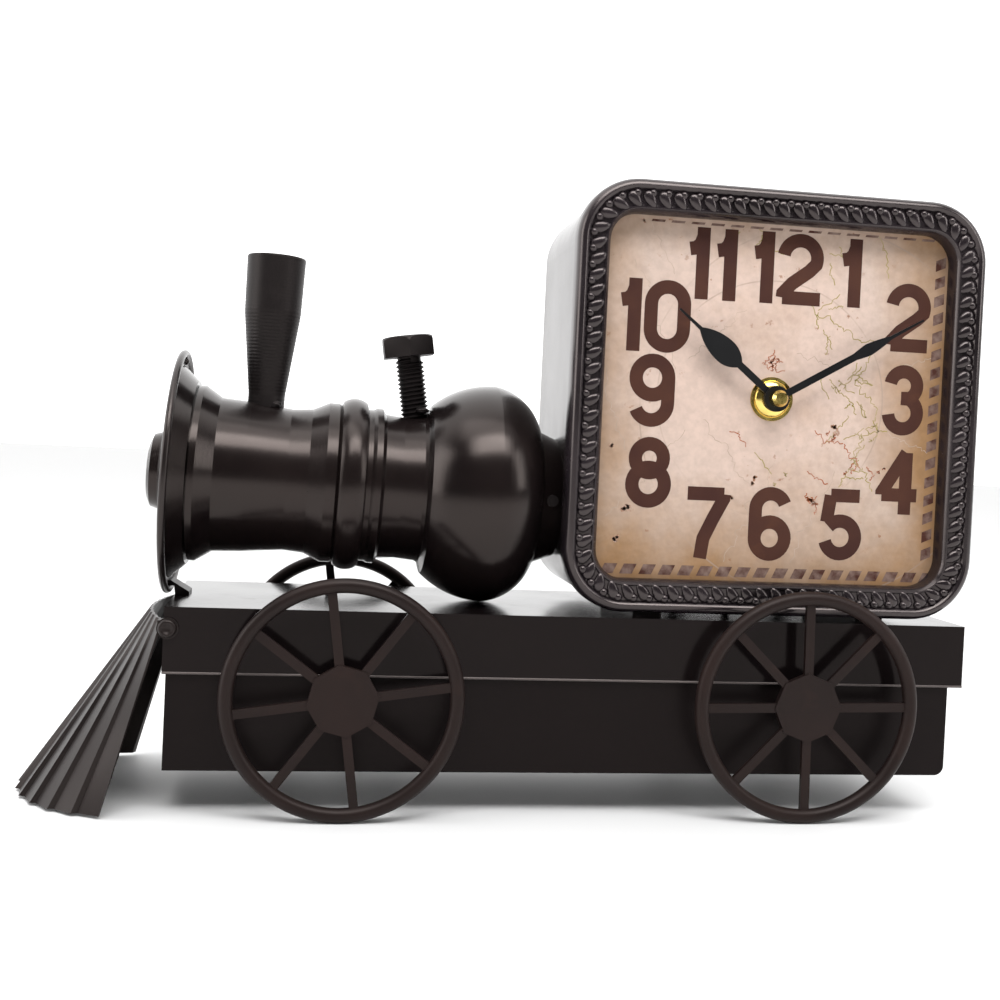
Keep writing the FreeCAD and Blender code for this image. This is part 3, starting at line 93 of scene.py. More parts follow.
def finishPiece(piece, body, slot, material, *replaced):
    piece.data.materials.clear()
    piece.data.materials.append(material)
    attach(piece, body)
    if replaced:
        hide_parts(*replaced)


def spunPiece(name, profile, steps, closed=False):
    # profile is (height, radius) along the piece's own Z, turned all the way round
    mesh = bpy.data.meshes.new(name)
    points = [(radius, 0, height) for height, radius in profile]
    edges = [(i, i + 1) for i in range(len(points) - 1)]
    if closed:
        edges.append((len(points) - 1, 0))
    mesh.from_pydata(points, edges, [])
    piece = bpy.data.objects.new(name, mesh)
    bpy.context.collection.objects.link(piece)
    makeActive(piece)
    bpy.ops.object.mode_set(mode="EDIT")
    bpy.ops.mesh.select_all(action="SELECT")
    bpy.ops.mesh.spin(steps=steps, angle=2 * math.pi, center=(0, 0, 0), axis=(0, 0, 1))
    bpy.ops.mesh.select_all(action="SELECT")
    bpy.ops.mesh.remove_doubles(threshold=0.00001)
    bpy.ops.mesh.normals_make_consistent(inside=False)
    bpy.ops.object.mode_set(mode="OBJECT")
    return piece


def newGroup(name, inputs, outputs):
    group = bpy.data.node_groups.new(name, "ShaderNodeTree")
    for label, kind, value in inputs:
        item = group.interface.new_socket(name=label, in_out="INPUT", socket_type=kind)
        item.default_value = value
    for label, kind in outputs:
        group.interface.new_socket(name=label, in_out="OUTPUT", socket_type=kind)
    return group, group.nodes.new("NodeGroupInput"), group.nodes.new("NodeGroupOutput")


def addNode(tree, kind, inputs=None, **settings):
    node = tree.nodes.new(kind)
    for key, value in settings.items():
        setattr(node, key, value)
    for key, value in (inputs or {}).items():
        if isinstance(value, bpy.types.NodeSocket):
            tree.links.new(value, node.inputs[key])
        else:
            node.inputs[key].default_value = value
    return node


def mathNode(tree, operation, first, second=None, clamp=False):
    inputs = {0: first}
    if second is not None:
        inputs[1] = second
    return addNode(tree, "ShaderNodeMath", inputs, operation=operation, use_clamp=clamp).outputs[0]


def mixColour(tree, factor, first, second, blend="MIX"):
    sockets = {0: factor, 6: first, 7: second}
    return addNode(tree, "ShaderNodeMix", sockets, data_type="RGBA", blend_type=blend).outputs[2]


def mapRange(tree, value, fromMin, fromMax, toMin=0.0, toMax=1.0):
    return addNode(tree, "ShaderNodeMapRange", {
        "Value": value, "From Min": fromMin, "From Max": fromMax, "To Min": toMin, "To Max": toMax,
    }).outputs[0]


def noiseNode(tree, place, scale, detail, roughness=0.5):
    inputs = {"Vector": place, "Scale": scale, "Detail": detail, "Roughness": roughness}
    return addNode(tree, "ShaderNodeTexNoise", inputs).outputs[0]


def bumpNode(tree, strength, depth, height, normal=None):
    inputs = {"Strength": strength, "Distance": depth, "Height": height}
    if normal is not None:
        inputs["Normal"] = normal
    return addNode(tree, "ShaderNodeBump", inputs).outputs["Normal"]


enamelSurface = {
    "rubScale": 75.0, "rubFrom": 0.58, "rubTo": 0.74, "rubRough": 0.18,
    "dustScale": 420.0, "dustEdge": 0.10, "dustCore": 0.03, "dustRough": 0.08, "dustHeight": 0.6,
    "drift": 0.5, "bump": 0.10, "bumpDepth": 0.00005, "tint": (1.0, 0.87, 0.83, 1),
}


def buildEnamelGroup():
    # sprayed enamel: slow drift of tone, fine orange peel, dust specks and rubbed patches
    v = enamelSurface
    group, start, end = newGroup("enamelFinish", [
        ("Tone", "NodeSocketColor", (0.02, 0.015, 0.015, 1)),
        ("Rubbed", "NodeSocketColor", (0.09, 0.06, 0.05, 1)),
        ("Peel Scale", "NodeSocketFloat", 900.0),
        ("Drift Scale", "NodeSocketFloat", 28.0),
        ("Smooth", "NodeSocketFloat", 0.25),
        ("Dull", "NodeSocketFloat", 0.4),
        ("Rub Amount", "NodeSocketFloat", 0.3),
    ], [("Color", "NodeSocketColor"), ("Roughness", "NodeSocketFloat"), ("Height", "NodeSocketFloat")])
    given = start.outputs
    place = addNode(group, "ShaderNodeTexCoord").outputs["Object"]
    drift = noiseNode(group, place, given["Drift Scale"], 4.0)
    peel = noiseNode(group, place, given["Peel Scale"], 2.0)
    rub = noiseNode(group, place, v["rubScale"], 8.0, 0.7)
    dust = addNode(group, "ShaderNodeTexVoronoi", {"Vector": place, "Scale": v["dustScale"]})
    speck = mapRange(group, dust.outputs["Distance"], v["dustEdge"], v["dustCore"])
    rubMask = mathNode(group, "MULTIPLY", mapRange(group, rub, v["rubFrom"], v["rubTo"]), given["Rub Amount"])
    driftMask = mapRange(group, drift, 0.35, 0.7, 0.0, v["drift"])
    warm = mixColour(group, driftMask, given["Tone"], given["Rubbed"])
    group.links.new(mixColour(group, rubMask, warm, given["Rubbed"]), end.inputs["Color"])
    gloss = mapRange(group, drift, 0.3, 0.7, given["Smooth"], given["Dull"])
    rough = mathNode(group, "ADD", gloss, mathNode(group, "MULTIPLY", rubMask, v["rubRough"]), clamp=True)
    dusty = mathNode(group, "ADD", rough, mathNode(group, "MULTIPLY", speck, v["dustRough"]))
    group.links.new(dusty, end.inputs["Roughness"])
    height = mathNode(group, "ADD", peel, mathNode(group, "MULTIPLY", speck, v["dustHeight"]))
    group.links.new(height, end.inputs["Height"])
    return group


def buildMetalGroup():
    # bare turned metal: fine grain and small stains
    group, start, end = newGroup("bareMetal", [
        ("Tone", "NodeSocketColor", (0.6, 0.6, 0.6, 1)),
        ("Stain", "NodeSocketColor", (0.3, 0.25, 0.2, 1)),
        ("Grain Scale", "NodeSocketFloat", 600.0),
        ("Smooth", "NodeSocketFloat", 0.18),
        ("Dull", "NodeSocketFloat", 0.38),
    ], [("Color", "NodeSocketColor"), ("Roughness", "NodeSocketFloat"), ("Height", "NodeSocketFloat")])
    given = start.outputs
    place = addNode(group, "ShaderNodeTexCoord").outputs["Object"]
    grain = noiseNode(group, place, given["Grain Scale"], 5.0)
    mask = mapRange(group, noiseNode(group, place, 160.0, 6.0), 0.45, 0.72, 0.0, 0.6)
    group.links.new(mixColour(group, mask, given["Tone"], given["Stain"]), end.inputs["Color"])
    rough = mapRange(group, grain, 0.3, 0.7, given["Smooth"], given["Dull"])
    group.links.new(rough, end.inputs["Roughness"])
    group.links.new(grain, end.inputs["Height"])
    return group


def newMaterial(name, **shader):
    material = bpy.data.materials.new(name)
    material.use_nodes = True
    tree = material.node_tree
    principled = tree.nodes["Principled BSDF"]
    for key, value in shader.items():
        principled.inputs[key].default_value = value
    return material, tree, principled


def finishNode(tree, principled, group, values):
    node = addNode(tree, "ShaderNodeGroup", node_tree=group)
    for key, value in values.items():
        node.inputs[key].default_value = value
    tree.links.new(node.outputs["Color"], principled.inputs["Base Color"])
    tree.links.new(node.outputs["Roughness"], principled.inputs["Roughness"])
    return node


def fromGroup(name, group, values, bump, bumpDepth, shader):
    material, tree, principled = newMaterial(name, **shader)
    node = finishNode(tree, principled, group, values)
    tree.links.new(bumpNode(tree, bump, bumpDepth, node.outputs["Height"]), principled.inputs["Normal"])
    return material


enamelGroup = buildEnamelGroup()
metalGroup = buildMetalGroup()

enamelKinds = {
    # tone, rubbed tone, gloss range, rubbing, sheen head-on
    "glossEnamel": ((0.0045, 0.0034, 0.0035, 1), (0.014, 0.010, 0.0095, 1), 0.24, 0.36, 0.25, 0.45),
    "bezelEnamel": ((0.0070, 0.0052, 0.0062, 1), (0.024, 0.018, 0.022, 1), 0.17, 0.27, 0.35, 0.60),
    "cabEnamel": ((0.0060, 0.0050, 0.0054, 1), (0.014, 0.011, 0.011, 1), 0.16, 0.26, 0.15, 0.50),
    "chassisEnamel": ((0.0046, 0.0033, 0.0035, 1), (0.0080, 0.0056, 0.0055, 1), 0.32, 0.44, 0.30, 0.12),
    "deckEnamel": ((0.0046, 0.0033, 0.0035, 1), (0.0080, 0.0056, 0.0055, 1), 0.10, 0.20, 0.30, 0.12),
    "wheelEnamel": ((0.0085, 0.0055, 0.0052, 1), (0.022, 0.0115, 0.0095, 1), 0.38, 0.52, 0.50, 0.20),
    "fanEnamel": ((0.0060, 0.0044, 0.0043, 1), (0.018, 0.013, 0.012, 1), 0.28, 0.42, 0.50, 0.25),
    "boltEnamel": ((0.0048, 0.0040, 0.0042, 1), (0.012, 0.0095, 0.0095, 1), 0.36, 0.50, 0.40, 0.20),
    # the hem's light tone is a painted highlight along the deck's lower edge
    "hemHighlightPaint": ((0.060, 0.051, 0.049, 1), (0.10, 0.085, 0.080, 1), 0.30, 0.45, 0.70, 0.50),
}


def buildEnamel(name, kind):
    tone, rubbed, smooth, dull, rub, sheen = kind
    values = {"Tone": tone, "Rubbed": rubbed, "Smooth": smooth, "Dull": dull, "Rub Amount": rub}
    v = enamelSurface
    shader = {"Specular IOR Level": sheen, "IOR": 1.5, "Specular Tint": v["tint"]}
    return fromGroup(name, enamelGroup, values, v["bump"], v["bumpDepth"], shader)


enamels = {name: buildEnamel(name, kind) for name, kind in enamelKinds.items()}

brass = fromGroup("polishedBrass", metalGroup, {
    "Tone": (0.86, 0.66, 0.20, 1), "Stain": (0.62, 0.40, 0.09, 1), "Smooth": 0.12, "Dull": 0.24,
}, 0.08, 0.00003, {"Metallic": 1.0})
zinc = fromGroup("zincPlate", metalGroup, {
    "Tone": (0.62, 0.62, 0.60, 1), "Stain": (0.42, 0.42, 0.42, 1), "Smooth": 0.25, "Dull": 0.42,
}, 0.1, 0.00003, {"Metallic": 1.0})
copperWire = fromGroup("copperWire", metalGroup, {
    "Tone": (0.75, 0.30, 0.12, 1), "Stain": (0.45, 0.14, 0.06, 1), "Smooth": 0.25, "Dull": 0.35,
}, 0.3, 0.0001, {"Metallic": 1.0})
handBlack = fromGroup("handBlack", enamelGroup, {
    "Tone": (0.0035, 0.0035, 0.004, 1), "Rubbed": (0.009, 0.009, 0.010, 1), "Smooth": 0.35, "Dull": 0.5,
}, 0.1, 0.00003, {"Specular IOR Level": 0.2})
blackPlastic = fromGroup("mouldedPlastic", enamelGroup, {
    "Tone": (0.018, 0.018, 0.019, 1), "Rubbed": (0.03, 0.03, 0.03, 1), "Smooth": 0.45, "Dull": 0.6,
    "Peel Scale": 2400.0,
}, 0.3, 0.00005, {})
acetal = fromGroup("gearAcetal", enamelGroup, {
    "Tone": (0.80, 0.79, 0.73, 1), "Rubbed": (0.70, 0.68, 0.60, 1), "Smooth": 0.35, "Dull": 0.45,
}, 0.1, 0.00003, {"Subsurface Weight": 0.1, "Subsurface Radius": (0.002, 0.002, 0.0015)})
boardLacquer = fromGroup("boardLacquer", enamelGroup, {
    "Tone": (0.01, 0.13, 0.05, 1), "Rubbed": (0.02, 0.20, 0.08, 1), "Smooth": 0.2, "Dull": 0.3,
}, 0.1, 0.00003, {})
cellSleeve = fromGroup("cellSleeve", enamelGroup, {
    "Tone": (0.05, 0.12, 0.22, 1), "Rubbed": (0.10, 0.18, 0.28, 1), "Smooth": 0.18, "Dull": 0.28,
}, 0.05, 0.00003, {"Coat Weight": 0.3})
numeralInk = fromGroup("numeralInk", enamelGroup, {
    "Tone": (0.042, 0.013, 0.009, 1), "Rubbed": (0.085, 0.033, 0.018, 1), "Smooth": 0.6, "Dull": 0.75,
    "Rub Amount": 0.7, "Drift Scale": 60.0,
}, 0.05, 0.00003, {"Specular IOR Level": 0.2})
print("materials made")


# the hands' axis at the card's front, and the cab's middle
hub = Vector((0.0870, -0.0274, 0.1409))
cabMiddle = Vector((0.0879, 0, 0.1393))

cardValues = {
    "middle": (0.55, 0.42, 0.355, 1), "pale": (0.46, 0.375, 0.32, 1), "tan": (0.29, 0.165, 0.078, 1),
    "spot": (0.23, 0.095, 0.04, 1), "ring": (0.33, 0.25, 0.20, 1),
    # where each tan edge starts and is full, from the hands' axis, and how strong it gets
    "low": (-0.014, -0.062, 1.0), "high": (0.040, 0.060, 0.5),
    "left": (-0.040, -0.060, 0.65), "right": (0.028, 0.060, 1.0),
    "paleMiddle": (-0.006, 0.012), "paleFrom": 0.030, "paleTo": 0.075, "paleMost": 0.8,
    "ringRadius": 0.0402, "leftRing": 0.0640, "leftRingPlace": (0.018, -0.004), "ringWidth": 0.00035,
    "spotMost": 0.8, "bump": 0.08, "bumpDepth": 0.00005,
}


def ringMask(tree, place, centre, radius, width):
    away = addNode(tree, "ShaderNodeVectorMath", {0: place, 1: centre}, operation="DISTANCE").outputs["Value"]
    gap = mathNode(tree, "ABSOLUTE", mathNode(tree, "SUBTRACT", away, radius))
    return mapRange(tree, gap, width, width * 0.4)


def buildCardMaterial():
    v = cardValues
    material, tree, principled = newMaterial("agedCard", **{"Roughness": 0.7, "Specular IOR Level": 0.25})
    place = addNode(tree, "ShaderNodeTexCoord").outputs["Object"]
    parts = addNode(tree, "ShaderNodeSeparateXYZ", {0: place}).outputs
    blotch = noiseNode(tree, place, 26.0, 6.0, 0.6)
    fibre = noiseNode(tree, place, 420.0, 3.0)

    def edgeMask(edge, axis, middle):
        start, full, most = v[edge]
        return mapRange(tree, parts[axis], middle + start, middle + full, 0.0, most)

    def larger(first, second):
        return mathNode(tree, "MAXIMUM", first, second)

    flat = larger(edgeMask("low", "Z", hub.z), edgeMask("right", "X", hub.x))
    aged = larger(flat, larger(edgeMask("left", "X", hub.x), edgeMask("high", "Z", hub.z)))
    drift = mathNode(tree, "ADD", aged, mapRange(tree, blotch, 0.35, 0.75, -0.30, 0.42), clamp=True)
    paleMiddle = (hub.x + v["paleMiddle"][0], hub.y, hub.z + v["paleMiddle"][1])
    away = addNode(tree, "ShaderNodeVectorMath", {0: place, 1: paleMiddle}, operation="DISTANCE")
    paleMask = mapRange(tree, away.outputs["Value"], v["paleFrom"], v["paleTo"], 0.0, v["paleMost"])
    paper = mixColour(tree, paleMask, v["middle"], v["pale"])
    paper = mixColour(tree, drift, paper, v["tan"])
    grain = mapRange(tree, fibre, 0.35, 0.65, 0.93, 1.05)
    grey = addNode(tree, "ShaderNodeCombineColor", {0: grain, 1: grain, 2: grain}).outputs[0]
    paper = mixColour(tree, 1.0, paper, grey, "MULTIPLY")
    leftRing = (hub.x + v["leftRingPlace"][0], hub.y, hub.z + v["leftRingPlace"][1])
    rings = larger(ringMask(tree, place, tuple(hub), v["ringRadius"], v["ringWidth"]),
                   ringMask(tree, place, leftRing, v["leftRing"], v["ringWidth"]))
    broken = mapRange(tree, blotch, 0.42, 0.55, 0.1, 0.75)
    paper = mixColour(tree, mathNode(tree, "MULTIPLY", rings, broken), paper, v["ring"])
    specks = mapRange(tree, noiseNode(tree, place, 260.0, 5.0, 0.65), 0.63, 0.69)
    patches = mapRange(tree, noiseNode(tree, place, 45.0, 2.0), 0.47, 0.60)
    spotMask = mathNode(tree, "MULTIPLY", mathNode(tree, "MULTIPLY", specks, patches), v["spotMost"])
    tree.links.new(mixColour(tree, spotMask, paper, v["spot"]), principled.inputs["Base Color"])
    tree.links.new(bumpNode(tree, v["bump"], v["bumpDepth"], fibre), principled.inputs["Normal"])
    return material


cardMaterial = buildCardMaterial()

turnedValues = {
    "tone": (0.0045, 0.0032, 0.0033, 1), "rubbed": (0.012, 0.0078, 0.0072, 1), "smooth": 0.15, "dull": 0.25,
    "rub": 0.25, "sheen": 0.36, "tint": (1.0, 0.85, 0.79, 1), "lean": -1.88,
    "ringScale": 1900.0, "ringBump": 0.22, "bump": 0.10, "bumpDepth": 0.00006,
}


def buildTurnedMaterial():
    # enamel over fine turning marks, which run round the boiler's axis
    v = turnedValues
    material, tree, principled = newMaterial("turnedEnamel", **{
        "IOR": 1.5, "Specular IOR Level": v["sheen"], "Specular Tint": v["tint"],
    })
    node = finishNode(tree, principled, enamelGroup, {
        "Tone": v["tone"], "Rubbed": v["rubbed"], "Smooth": v["smooth"], "Dull": v["dull"],
        "Rub Amount": v["rub"],
    })
    place = addNode(tree, "ShaderNodeTexCoord").outputs["Object"]
    lean = addNode(tree, "ShaderNodeMapping", {"Vector": place, "Rotation": (0, math.radians(v["lean"]), 0)})
    along = addNode(tree, "ShaderNodeSeparateXYZ", {0: lean.outputs[0]}).outputs["X"]
    count = mathNode(tree, "MULTIPLY", along, v["ringScale"])
    rings = addNode(tree, "ShaderNodeTexNoise", {"W": count, "Detail": 3.0}, noise_dimensions="1D")
    turning = bumpNode(tree, v["ringBump"], v["bumpDepth"], rings.outputs[0])
    skin = bumpNode(tree, v["bump"], v["bumpDepth"], node.outputs["Height"], turning)
    tree.links.new(skin, principled.inputs["Normal"])
    return material


turnedEnamel = buildTurnedMaterial()

nodeMaterials = [
    (turnedEnamel, ["smokebox_boss", "boiler_barrel", "firebox_bulb", "neck_collar", "smokebox_dish"]),
    (enamels["glossEnamel"], ["smokebox_disc", "smokebox_rivet"]),
    (enamels["cabEnamel"], ["cab_housing", "back_cover", "cover_tabs", "cab_spacers"]),
    (enamels["chassisEnamel"], ["chassis_box", "disc_foot_bracket"]),
    (enamels["deckEnamel"], ["chassis_deck"]),
    (enamels["fanEnamel"], ["cowcatcher", "cowcatcher_rivets"]),
    (enamels["boltEnamel"], ["neck_screw", "dome_bolt", "chimney"]),
    (enamels["bezelEnamel"], ["cab_bezel"]),
    (enamels["wheelEnamel"], ["front_wheel_near", "front_wheel_far", "rear_wheel_near", "rear_wheel_far",
                             "front_axle", "rear_axle"]),
    (zinc, ["tie_rod", "tie_rod_nut", "chimney_screw", "dome_nut", "cab_screws", "back_cover_screws",
            "motion_post", "battery_contacts", "motor_stator", "axle_bushes"]),
    (brass, ["dial_washer", "dial_nut", "hand_cap", "movement_stem"]),
    (handBlack, ["minute_hand", "hour_hand"]),
    (blackPlastic, ["movement_front_case", "movement_back_case"]),
    (acetal, ["hour_wheel", "minute_arbor", "motion_wheel", "setting_knob"]),
    (boardLacquer, ["circuit_board"]),
    (copperWire, ["motor_coil"]),
    (cellSleeve, ["battery"]),
    (cardMaterial, ["dial_plate"]),
]
for material, names in nodeMaterials:
    for name in names:
        for slot in cadNodes[name].material_slots:
            slot.material = material
print("materials given to", sum(len(names) for _, names in nodeMaterials), "nodes of", len(cadNodes))


bezelValues = {
    "outer": 71.9, "corner": 21.0, "cornerSteps": 14,
    "section": [(0.0, 27.4), (0.0, 32.0), (0.3, 33.4), (0.9, 34.5), (1.8, 35.2), (2.6, 35.35), (3.2, 35.1),
                (3.7, 34.5), (4.1, 33.9), (8.9, 33.9), (9.3, 34.4), (9.8, 34.4), (10.5, 33.7), (11.0, 32.8),
                (11.0, 27.5)],
    "frameSmooth": 32, "pitch": 5.3, "beadSegments": 12, "beadRings": 7,
    "dotInset": 5.0, "dotRadius": 1.55, "dotRise": 33.8,
    "lobeInset": 7.0, "lobeLong": 3.3, "lobeWide": 2.2, "lobeHigh": 1.35, "lobeRise": 33.95,
    "lobeSlant": 32.0, "lobeLead": 1.9,
    # width and height at the lobe's tail, and what its head adds
    "tailWide": 0.65, "headWide": 0.55, "tailHigh": 0.75, "headHigh": 0.35,
}


def roundedOutline(half, corner, steps):
    flat = half - corner
    points = []
    for quarter, (sx, sz) in enumerate(((1, 1), (-1, 1), (-1, -1), (1, -1))):
        for step in range(steps + 1):
            angle = math.radians(90 * quarter + 90 * step / steps)
            points.append((sx * flat + corner * math.cos(angle), sz * flat + corner * math.sin(angle)))
    return points


def alongOutline(half, corner, distance):
    # place and outward angle on a rounded square, measured anticlockwise from the middle of its right side
    flat = half - corner
    arc = math.pi * corner / 2
    side = 2 * flat + arc
    distance = (distance + flat) % (4 * side)
    quarter = int(distance // side)
    rest = distance - quarter * side
    if rest < 2 * flat:
        spot, angle = Vector((half, rest - flat, 0)), 0.0
    else:
        angle = (rest - 2 * flat) / corner
        spot = Vector((flat + corner * math.cos(angle), flat + corner * math.sin(angle), 0))
    turn = quarter * math.pi / 2
    return Matrix.Rotation(turn, 3, "Z") @ spot, angle + turn


def scatterCopies(source, places, name):
    # one mesh made of many turned copies of a small piece
    copies = []
    for place in places:
        twin = copyOf(source)
        twin.matrix_world = place
        copies.append(twin)
    bpy.data.objects.remove(source)
    joined = joinPieces(copies, name)
    applyPlace(joined)
    return joined


def faceForward(piece, x, z):
    # the piece was made face up about its own origin; stand it up to face the dial's side
    makeActive(piece)
    piece.rotation_euler = (math.pi / 2, 0, 0)
    piece.location = (x, 0, z)
    applyPlace(piece)


def buildBezel():
    v = bezelValues
    outline = roundedOutline(v["outer"] * mm, v["corner"] * mm, v["cornerSteps"])
    firstRise = v["section"][0][1] * mm
    count = len(outline)
    mesh = bpy.data.meshes.new("bezelFrame")
    mesh.from_pydata([(x, y, firstRise) for x, y in outline], [], [range(count)])
    frameRing = bpy.data.objects.new("bezelFrame", mesh)
    bpy.context.collection.objects.link(frameRing)
    makeActive(frameRing)
    bpy.ops.object.mode_set(mode="EDIT")
    bpy.ops.mesh.select_all(action="SELECT")
    inset, rise = v["section"][0]
    for nextInset, nextRise in v["section"][1:]:
        climb = (nextRise - rise) * mm
        if nextInset > inset:
            bpy.ops.mesh.inset(thickness=(nextInset - inset) * mm, depth=climb)
        else:
            bpy.ops.mesh.extrude_region_move(TRANSFORM_OT_translate={"value": (0, 0, climb)})
        inset, rise = nextInset, nextRise
    # open the window and the back, then close the back with a ring
    bpy.ops.mesh.delete(type="ONLY_FACE")
    bpy.ops.mesh.select_all(action="DESELECT")
    bpy.ops.mesh.select_face_by_sides(number=count, type="EQUAL")
    bpy.ops.mesh.delete(type="ONLY_FACE")
    bpy.ops.object.mode_set(mode="OBJECT")
    inner = roundedOutline((v["outer"] - inset) * mm, (v["corner"] - inset) * mm, v["cornerSteps"])
    backMesh = bpy.data.meshes.new("bezelBack")
    backMesh.from_pydata([(x, y, firstRise) for x, y in outline] + [(x, y, rise * mm) for x, y in inner], [],
                         [(n, (n + 1) % count, count + (n + 1) % count, count + n) for n in range(count)])
    backRing = bpy.data.objects.new("bezelBack", backMesh)
    bpy.context.collection.objects.link(backRing)
    frameRing = joinPieces([frameRing, backRing], "bezelFrame")
    makeActive(frameRing)
    bpy.ops.object.mode_set(mode="EDIT")
    bpy.ops.mesh.select_all(action="SELECT")
    bpy.ops.mesh.remove_doubles(threshold=0.00005)
    bpy.ops.mesh.normals_make_consistent(inside=False)
    bpy.ops.object.mode_set(mode="OBJECT")
    smoothByAngle(frameRing, v["frameSmooth"])

    dotHalf = v["outer"] - v["dotInset"]
    dotCorner = v["corner"] - v["dotInset"]
    around = 8 * (dotHalf - dotCorner) + 2 * math.pi * dotCorner
    count = round(around / v["pitch"])
    dotPlaces, lobePlaces = [], []
    lobeHalf = v["outer"] - v["lobeInset"]
    lobeCorner = v["corner"] - v["lobeInset"]
    lobeAround = 8 * (lobeHalf - lobeCorner) + 2 * math.pi * lobeCorner
    for step in range(count):
        spot, _ = alongOutline(dotHalf, dotCorner, around * step / count)
        dotPlaces.append(Matrix.Translation((spot.x * mm, spot.y * mm, v["dotRise"] * mm)))
        spot, angle = alongOutline(lobeHalf, lobeCorner, lobeAround * step / count + v["lobeLead"])
        turn = Matrix.Rotation(angle + math.radians(v["lobeSlant"]), 4, "Z")
        lobePlaces.append(Matrix.Translation((spot.x * mm, spot.y * mm, v["lobeRise"] * mm)) @ turn)

    clearSelection()
    bpy.ops.mesh.primitive_uv_sphere_add(segments=v["beadSegments"], ring_count=v["beadRings"],
                                         radius=v["dotRadius"] * mm)
    dots = scatterCopies(bpy.context.object, dotPlaces, "bezelDots")
    clearSelection()
    bpy.ops.mesh.primitive_uv_sphere_add(segments=v["beadSegments"], ring_count=v["beadRings"], radius=1.0,
                                         rotation=(0, math.pi / 2, 0))
    lobe = bpy.context.object
    applyPlace(lobe)
    lobe.scale = (v["lobeLong"] * mm, v["lobeWide"] * mm, v["lobeHigh"] * mm)
    applyPlace(lobe)
    makeActive(lobe)
    for vertex in lobe.data.vertices:
        # fatter towards the outside, drawn out to a tail at the inside
        share = (vertex.co.x / (v["lobeLong"] * mm) + 1) / 2
        vertex.co.y *= v["tailWide"] + v["headWide"] * share
        vertex.co.z *= v["tailHigh"] + v["headHigh"] * share
    lobes = scatterCopies(lobe, lobePlaces, "bezelLobes")
    for piece in (dots, lobes):
        makeActive(piece)
        bpy.ops.object.shade_smooth()
    bezel = joinPieces([frameRing, dots, lobes], "beadedBezel")
    faceForward(bezel, cabMiddle.x, cabMiddle.z)
    finishPiece(bezel, "root", "black_paint", enamels["bezelEnamel"], "cab_bezel")


buildBezel()
print("bezel made")


numerals = {
    # middle from the hand axis, then width and height, in millimetres
    "11": (-23.1, 44.5, 19.6, 24.2), "12": (3.1, 44.7, 26.3, 24.3), "1": (26.4, 44.7, 9.8, 23.5),
    "2": (48.0, 30.6, 16.5, 23.7), "3": (47.8, 2.1, 15.2, 24.3), "4": (47.3, -26.0, 15.9, 24.3),
    "5": (27.2, -42.0, 15.7, 24.7), "6": (1.8, -42.6, 15.4, 25.2), "7": (-20.5, -43.3, 15.7, 24.8),
    "8": (-41.8, -26.8, 15.9, 23.9), "9": (-42.1, 0.8, 15.9, 24.5), "10": (-42.8, 25.9, 25.8, 24.4),
}
printValues = {
    "stand": 0.05, "stroke": 4.6, "oneWidth": 8.6, "gap": 1.1, "strokeLift": 0.004, "sharpest": 0.6,
}


def layPrint(piece, x, z, level=0.0):
    # stand a flat face-up piece on the card's front
    piece.rotation_euler = (math.pi / 2, 0, 0)
    piece.location = (hub.x + x * mm, hub.y - (printValues["stand"] + level) * mm, hub.z + z * mm)
    applyPlace(piece)


def arcLine(cx, cy, rx, ry, start, stop, steps=20):
    # points on an ellipse, angles in degrees
    return [(cx + rx * math.cos(math.radians(start + (stop - start) * n / steps)),
             cy + ry * math.sin(math.radians(start + (stop - start) * n / steps))) for n in range(steps + 1)]


def digitStrokes(digit, w, h):
    # centre lines of one numeral in a box w wide and h high about its middle
    x, y = w / 2, h / 2
    end = printValues["stroke"] / 2
    shapes = {
        "0": [arcLine(0, y - x, x, x, 0, 180) + arcLine(0, x - y, x, x, 180, 360) + [(x, y - x)]],
        "1": [[(x, -y - end), (x, y + end)],
              [(-x - 0.6, y - 5.1), (-x * 0.2, y - 4.7), (x * 0.55, y - 3.2), (x, y - 0.6)]],
        "2": [arcLine(0, y - x, x, x, 172, -18, 24)
              + [(x * 0.55, -y * 0.05), (-x * 0.45, -y * 0.50), (-x * 0.98, -y * 0.86), (-x, -y)],
              [(-x, -y), (x + 1.6, -y)]],
        "3": [arcLine(0, y - x * 0.92, x * 0.92, x * 0.92, 172, -62, 24) + [(-x * 0.15, y * 0.06)],
              [(-x * 0.15, y * 0.06)] + arcLine(0, -y + x, x, x * 1.02, 68, -174, 26)],
        "4": [[(x * 0.52, -y - 1.8), (x * 0.52, y)], [(x * 0.52, y), (-x, -y * 0.42), (-x, -y * 0.50)],
              [(-x, -y * 0.50), (x + 1.6, -y * 0.50)]],
        "5": [[(x + 1.0, y), (-x * 0.70, y)], [(-x * 0.70, y), (-x * 0.92, y * 0.08)],
              arcLine(0, -y + x * 1.02, x, x * 1.02, 140, -165, 28)],
        "6": [arcLine(0, -y + x, x, x * 1.02, 0, 360, 32),
              arcLine(0, y - x, x, x, 22, 180, 18) + [(-x, -y + x)]],
        "7": [[(-x - 1.8, y), (x, y)],
              [(x, y), (x * 0.98, y - 1.5), (x * 0.35, y * 0.18), (-x * 0.22, -y * 0.5),
               (-x * 0.38, -y - 1.8)]],
        "8": [arcLine(0, y - x * 0.86, x * 0.86, x * 0.86, 0, 360, 30), arcLine(0, -y + x, x, x, 0, 360, 32)],
        "9": [arcLine(0, y - x, x, x * 1.02, 0, 360, 32),
              arcLine(0, -y + x, x, x, 202, 360, 18) + [(x, y - x)]],
    }
    return shapes[digit]


def flatPiece(name, corners, faces):
    mesh = bpy.data.meshes.new(name)
    mesh.from_pydata([(x * mm, y * mm, z * mm) for x, y, z in corners], [], faces)
    piece = bpy.data.objects.new(name, mesh)
    bpy.context.collection.objects.link(piece)
    return piece


